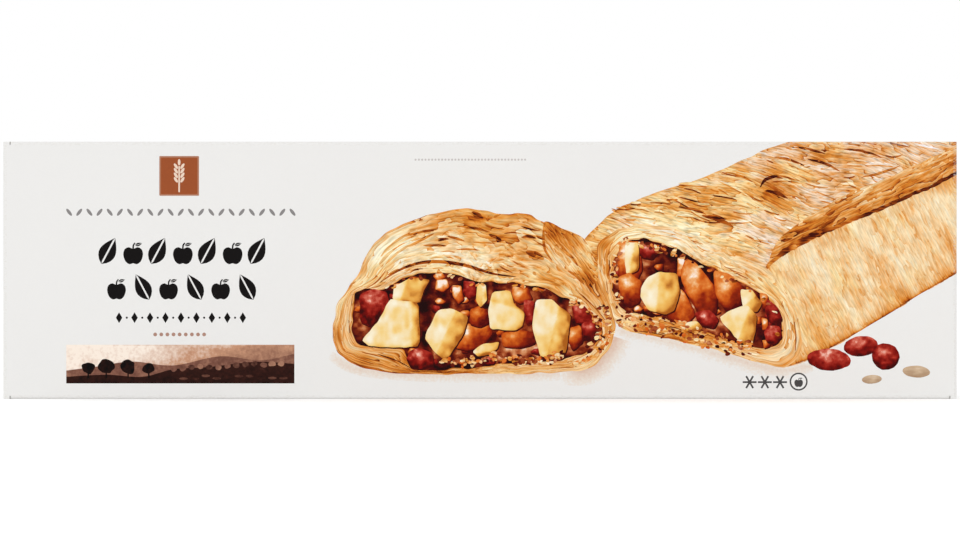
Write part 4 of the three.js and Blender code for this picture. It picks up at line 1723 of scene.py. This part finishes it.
def fold_carton(size, colours):
    """Makes the printed board, folded and glued shut."""
    blank = Blank(size)
    fields = list(print_fields(blank))
    flat, faces, topmost, _ = printed_skin(blank, fields)
    loop = cut_edge(faces)
    under, under_faces, under_loop = inner_skin(blank, anticlockwise(flat[loop]))
    # The rim along the cut edge joins the two skins.
    count = len(flat)
    after = np.roll(loop, -1)
    rim = rim_triangles(loop, after, under_loop + count, np.roll(under_loop, -1) + count)
    all_faces = np.concatenate([faces, under_faces[:, ::-1] + count, rim])
    places = np.concatenate([blank.folded(flat), blank.folded(under, inward=size.board)])
    mesh = bpy.data.meshes.new("carton_board")
    mesh.from_pydata((places * MM).tolist(), [], all_faces.tolist())

    finishes = ["bare_board", "board_core"] + sorted({f.finish for f in fields} - {"bare_board"})
    for finish in finishes:
        mesh.materials.append(printed(finish, colours))
    by_field = np.array([0] + [finishes.index(field.finish) for field in fields])
    slots = np.ones(len(all_faces), int)
    slots[: len(faces)] = by_field[topmost]
    mesh.polygons.foreach_set("material_index", slots)

    tone, grain = painted_corners(fields, flat, faces, topmost)
    unprinted = np.concatenate([flat, under])[all_faces[len(faces) :].reshape(-1)]
    tone = np.concatenate([tone, np.full(len(unprinted), 0.5)])
    wear = np.concatenate([blank.wear(flat), np.zeros(len(under))])
    outside, within, rim_map = bake_places(blank, flat, under, (flat[loop], flat[after]))
    bake = np.concatenate([outside, within])[all_faces[: -len(rim)].reshape(-1)]
    add_layer(mesh, "tone", "FLOAT", "CORNER", tone)
    add_layer(mesh, "wear", "FLOAT", "POINT", wear)
    add_map(mesh, "grain", np.concatenate([grain, unprinted]))
    add_map(mesh, "OFBake", np.concatenate([bake, rim_map]))

    mesh.shade_smooth()
    way = np.concatenate([blank.normals(flat), -blank.normals(under)])[all_faces.reshape(-1)]
    sides = np.cross(places[rim[:, 1]] - places[rim[:, 0]], places[rim[:, 2]] - places[rim[:, 0]])
    way[-3 * len(rim) :] = np.repeat(unit(sides), 3, axis=0)
    mesh.normals_split_custom_set(way.tolist())

    board = bpy.data.objects.new("carton_board", mesh)
    bpy.context.scene.collection.objects.link(board)
    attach(board, "root")
    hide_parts("carton")


# ---- Operators and their panel ----


class CARTON_OT_fold_board(bpy.types.Operator):
    """Print the carton's blank, fold it and glue it shut"""

    bl_idname = "carton.fold_board"
    bl_label = "Fold Printed Carton"
    bl_options = {"REGISTER", "UNDO"}

    def execute(self, context):
        fold_carton(context.scene.carton_sizes, context.scene.carton_colours)
        return {"FINISHED"}


class CARTON_OT_set_stage(bpy.types.Operator):
    """Add the white floor, the even light, the soft light and the camera that looks straight at the front"""

    bl_idname = "carton.set_stage"
    bl_label = "Set Stage"
    bl_options = {"REGISTER", "UNDO"}

    def execute(self, context):
        scene = context.scene
        stage = scene.carton_stage
        bpy.ops.object.select_all(action="DESELECT")
        bpy.ops.mesh.primitive_plane_add(size=stage.floor_size)
        floor = context.active_object
        floor.name = "floor"
        floor.data.materials.append(white_floor(stage.floor_glow))

        scene.world = bpy.data.worlds.new("even_light")
        scene.world.use_nodes = True
        sky = scene.world.node_tree.nodes["Background"]
        sky.inputs["Color"].default_value = (1.0, 1.0, 1.0, 1.0)
        sky.inputs["Strength"].default_value = stage.sky
        bpy.ops.object.light_add(type="SUN", location=SUN_PLACE)
        sun = context.active_object
        sun.name = "soft_light"
        sun.rotation_euler = (math.pi / 2 - stage.sun_height, 0.0, -stage.sun_side)
        sun.data.energy = stage.sun
        sun.data.angle = SUN_WIDTH

        # The camera looks level at the middle of the front, which fills the picture's width but for a margin.
        place = (0.0, -(DEPTH / 2 * MM + stage.camera_distance), HEIGHT / 2 * MM)
        bpy.ops.object.camera_add(location=place, rotation=(math.pi / 2, 0.0, 0.0))
        camera = context.active_object
        camera.name = "front_camera"
        camera.data.lens = camera.data.sensor_width * stage.camera_distance / (LENGTH * MM * FRAME_WIDTH)
        camera.data.clip_end = 2 * stage.floor_size
        scene.camera = camera
        scene.view_settings.view_transform = "Standard"
        return {"FINISHED"}


class CARTON_PT_settings(bpy.types.Panel):
    """Sizes and colours of the carton and its stage"""

    bl_label = "Frozen Strudel Carton"
    bl_idname = "CARTON_PT_settings"
    bl_space_type = "VIEW_3D"
    bl_region_type = "UI"
    bl_category = "Carton"

    def draw(self, context):
        scene = context.scene
        for title, group in (
            ("Sizes in mm", scene.carton_sizes),
            ("Colours", scene.carton_colours),
            ("Stage", scene.carton_stage),
        ):
            box = self.layout.box()
            box.label(text=title)
            for name in group.__annotations__:
                box.prop(group, name)
        self.layout.operator(CARTON_OT_fold_board.bl_idname)
        self.layout.operator(CARTON_OT_set_stage.bl_idname)


CLASSES = (
    CartonSizes,
    PrintColours,
    StageSettings,
    CARTON_OT_fold_board,
    CARTON_OT_set_stage,
    CARTON_PT_settings,
)


def register():
    for cls in CLASSES:
        bpy.utils.register_class(cls)
    bpy.types.Scene.carton_sizes = PointerProperty(type=CartonSizes)
    bpy.types.Scene.carton_colours = PointerProperty(type=PrintColours)
    bpy.types.Scene.carton_stage = PointerProperty(type=StageSettings)


def unregister():
    del bpy.types.Scene.carton_stage
    del bpy.types.Scene.carton_colours
    del bpy.types.Scene.carton_sizes
    for cls in reversed(CLASSES):
        bpy.utils.unregister_class(cls)


def main():
    register()
    bpy.ops.carton.fold_board()
    bpy.ops.carton.set_stage()


if __name__ == "__main__":
    main()
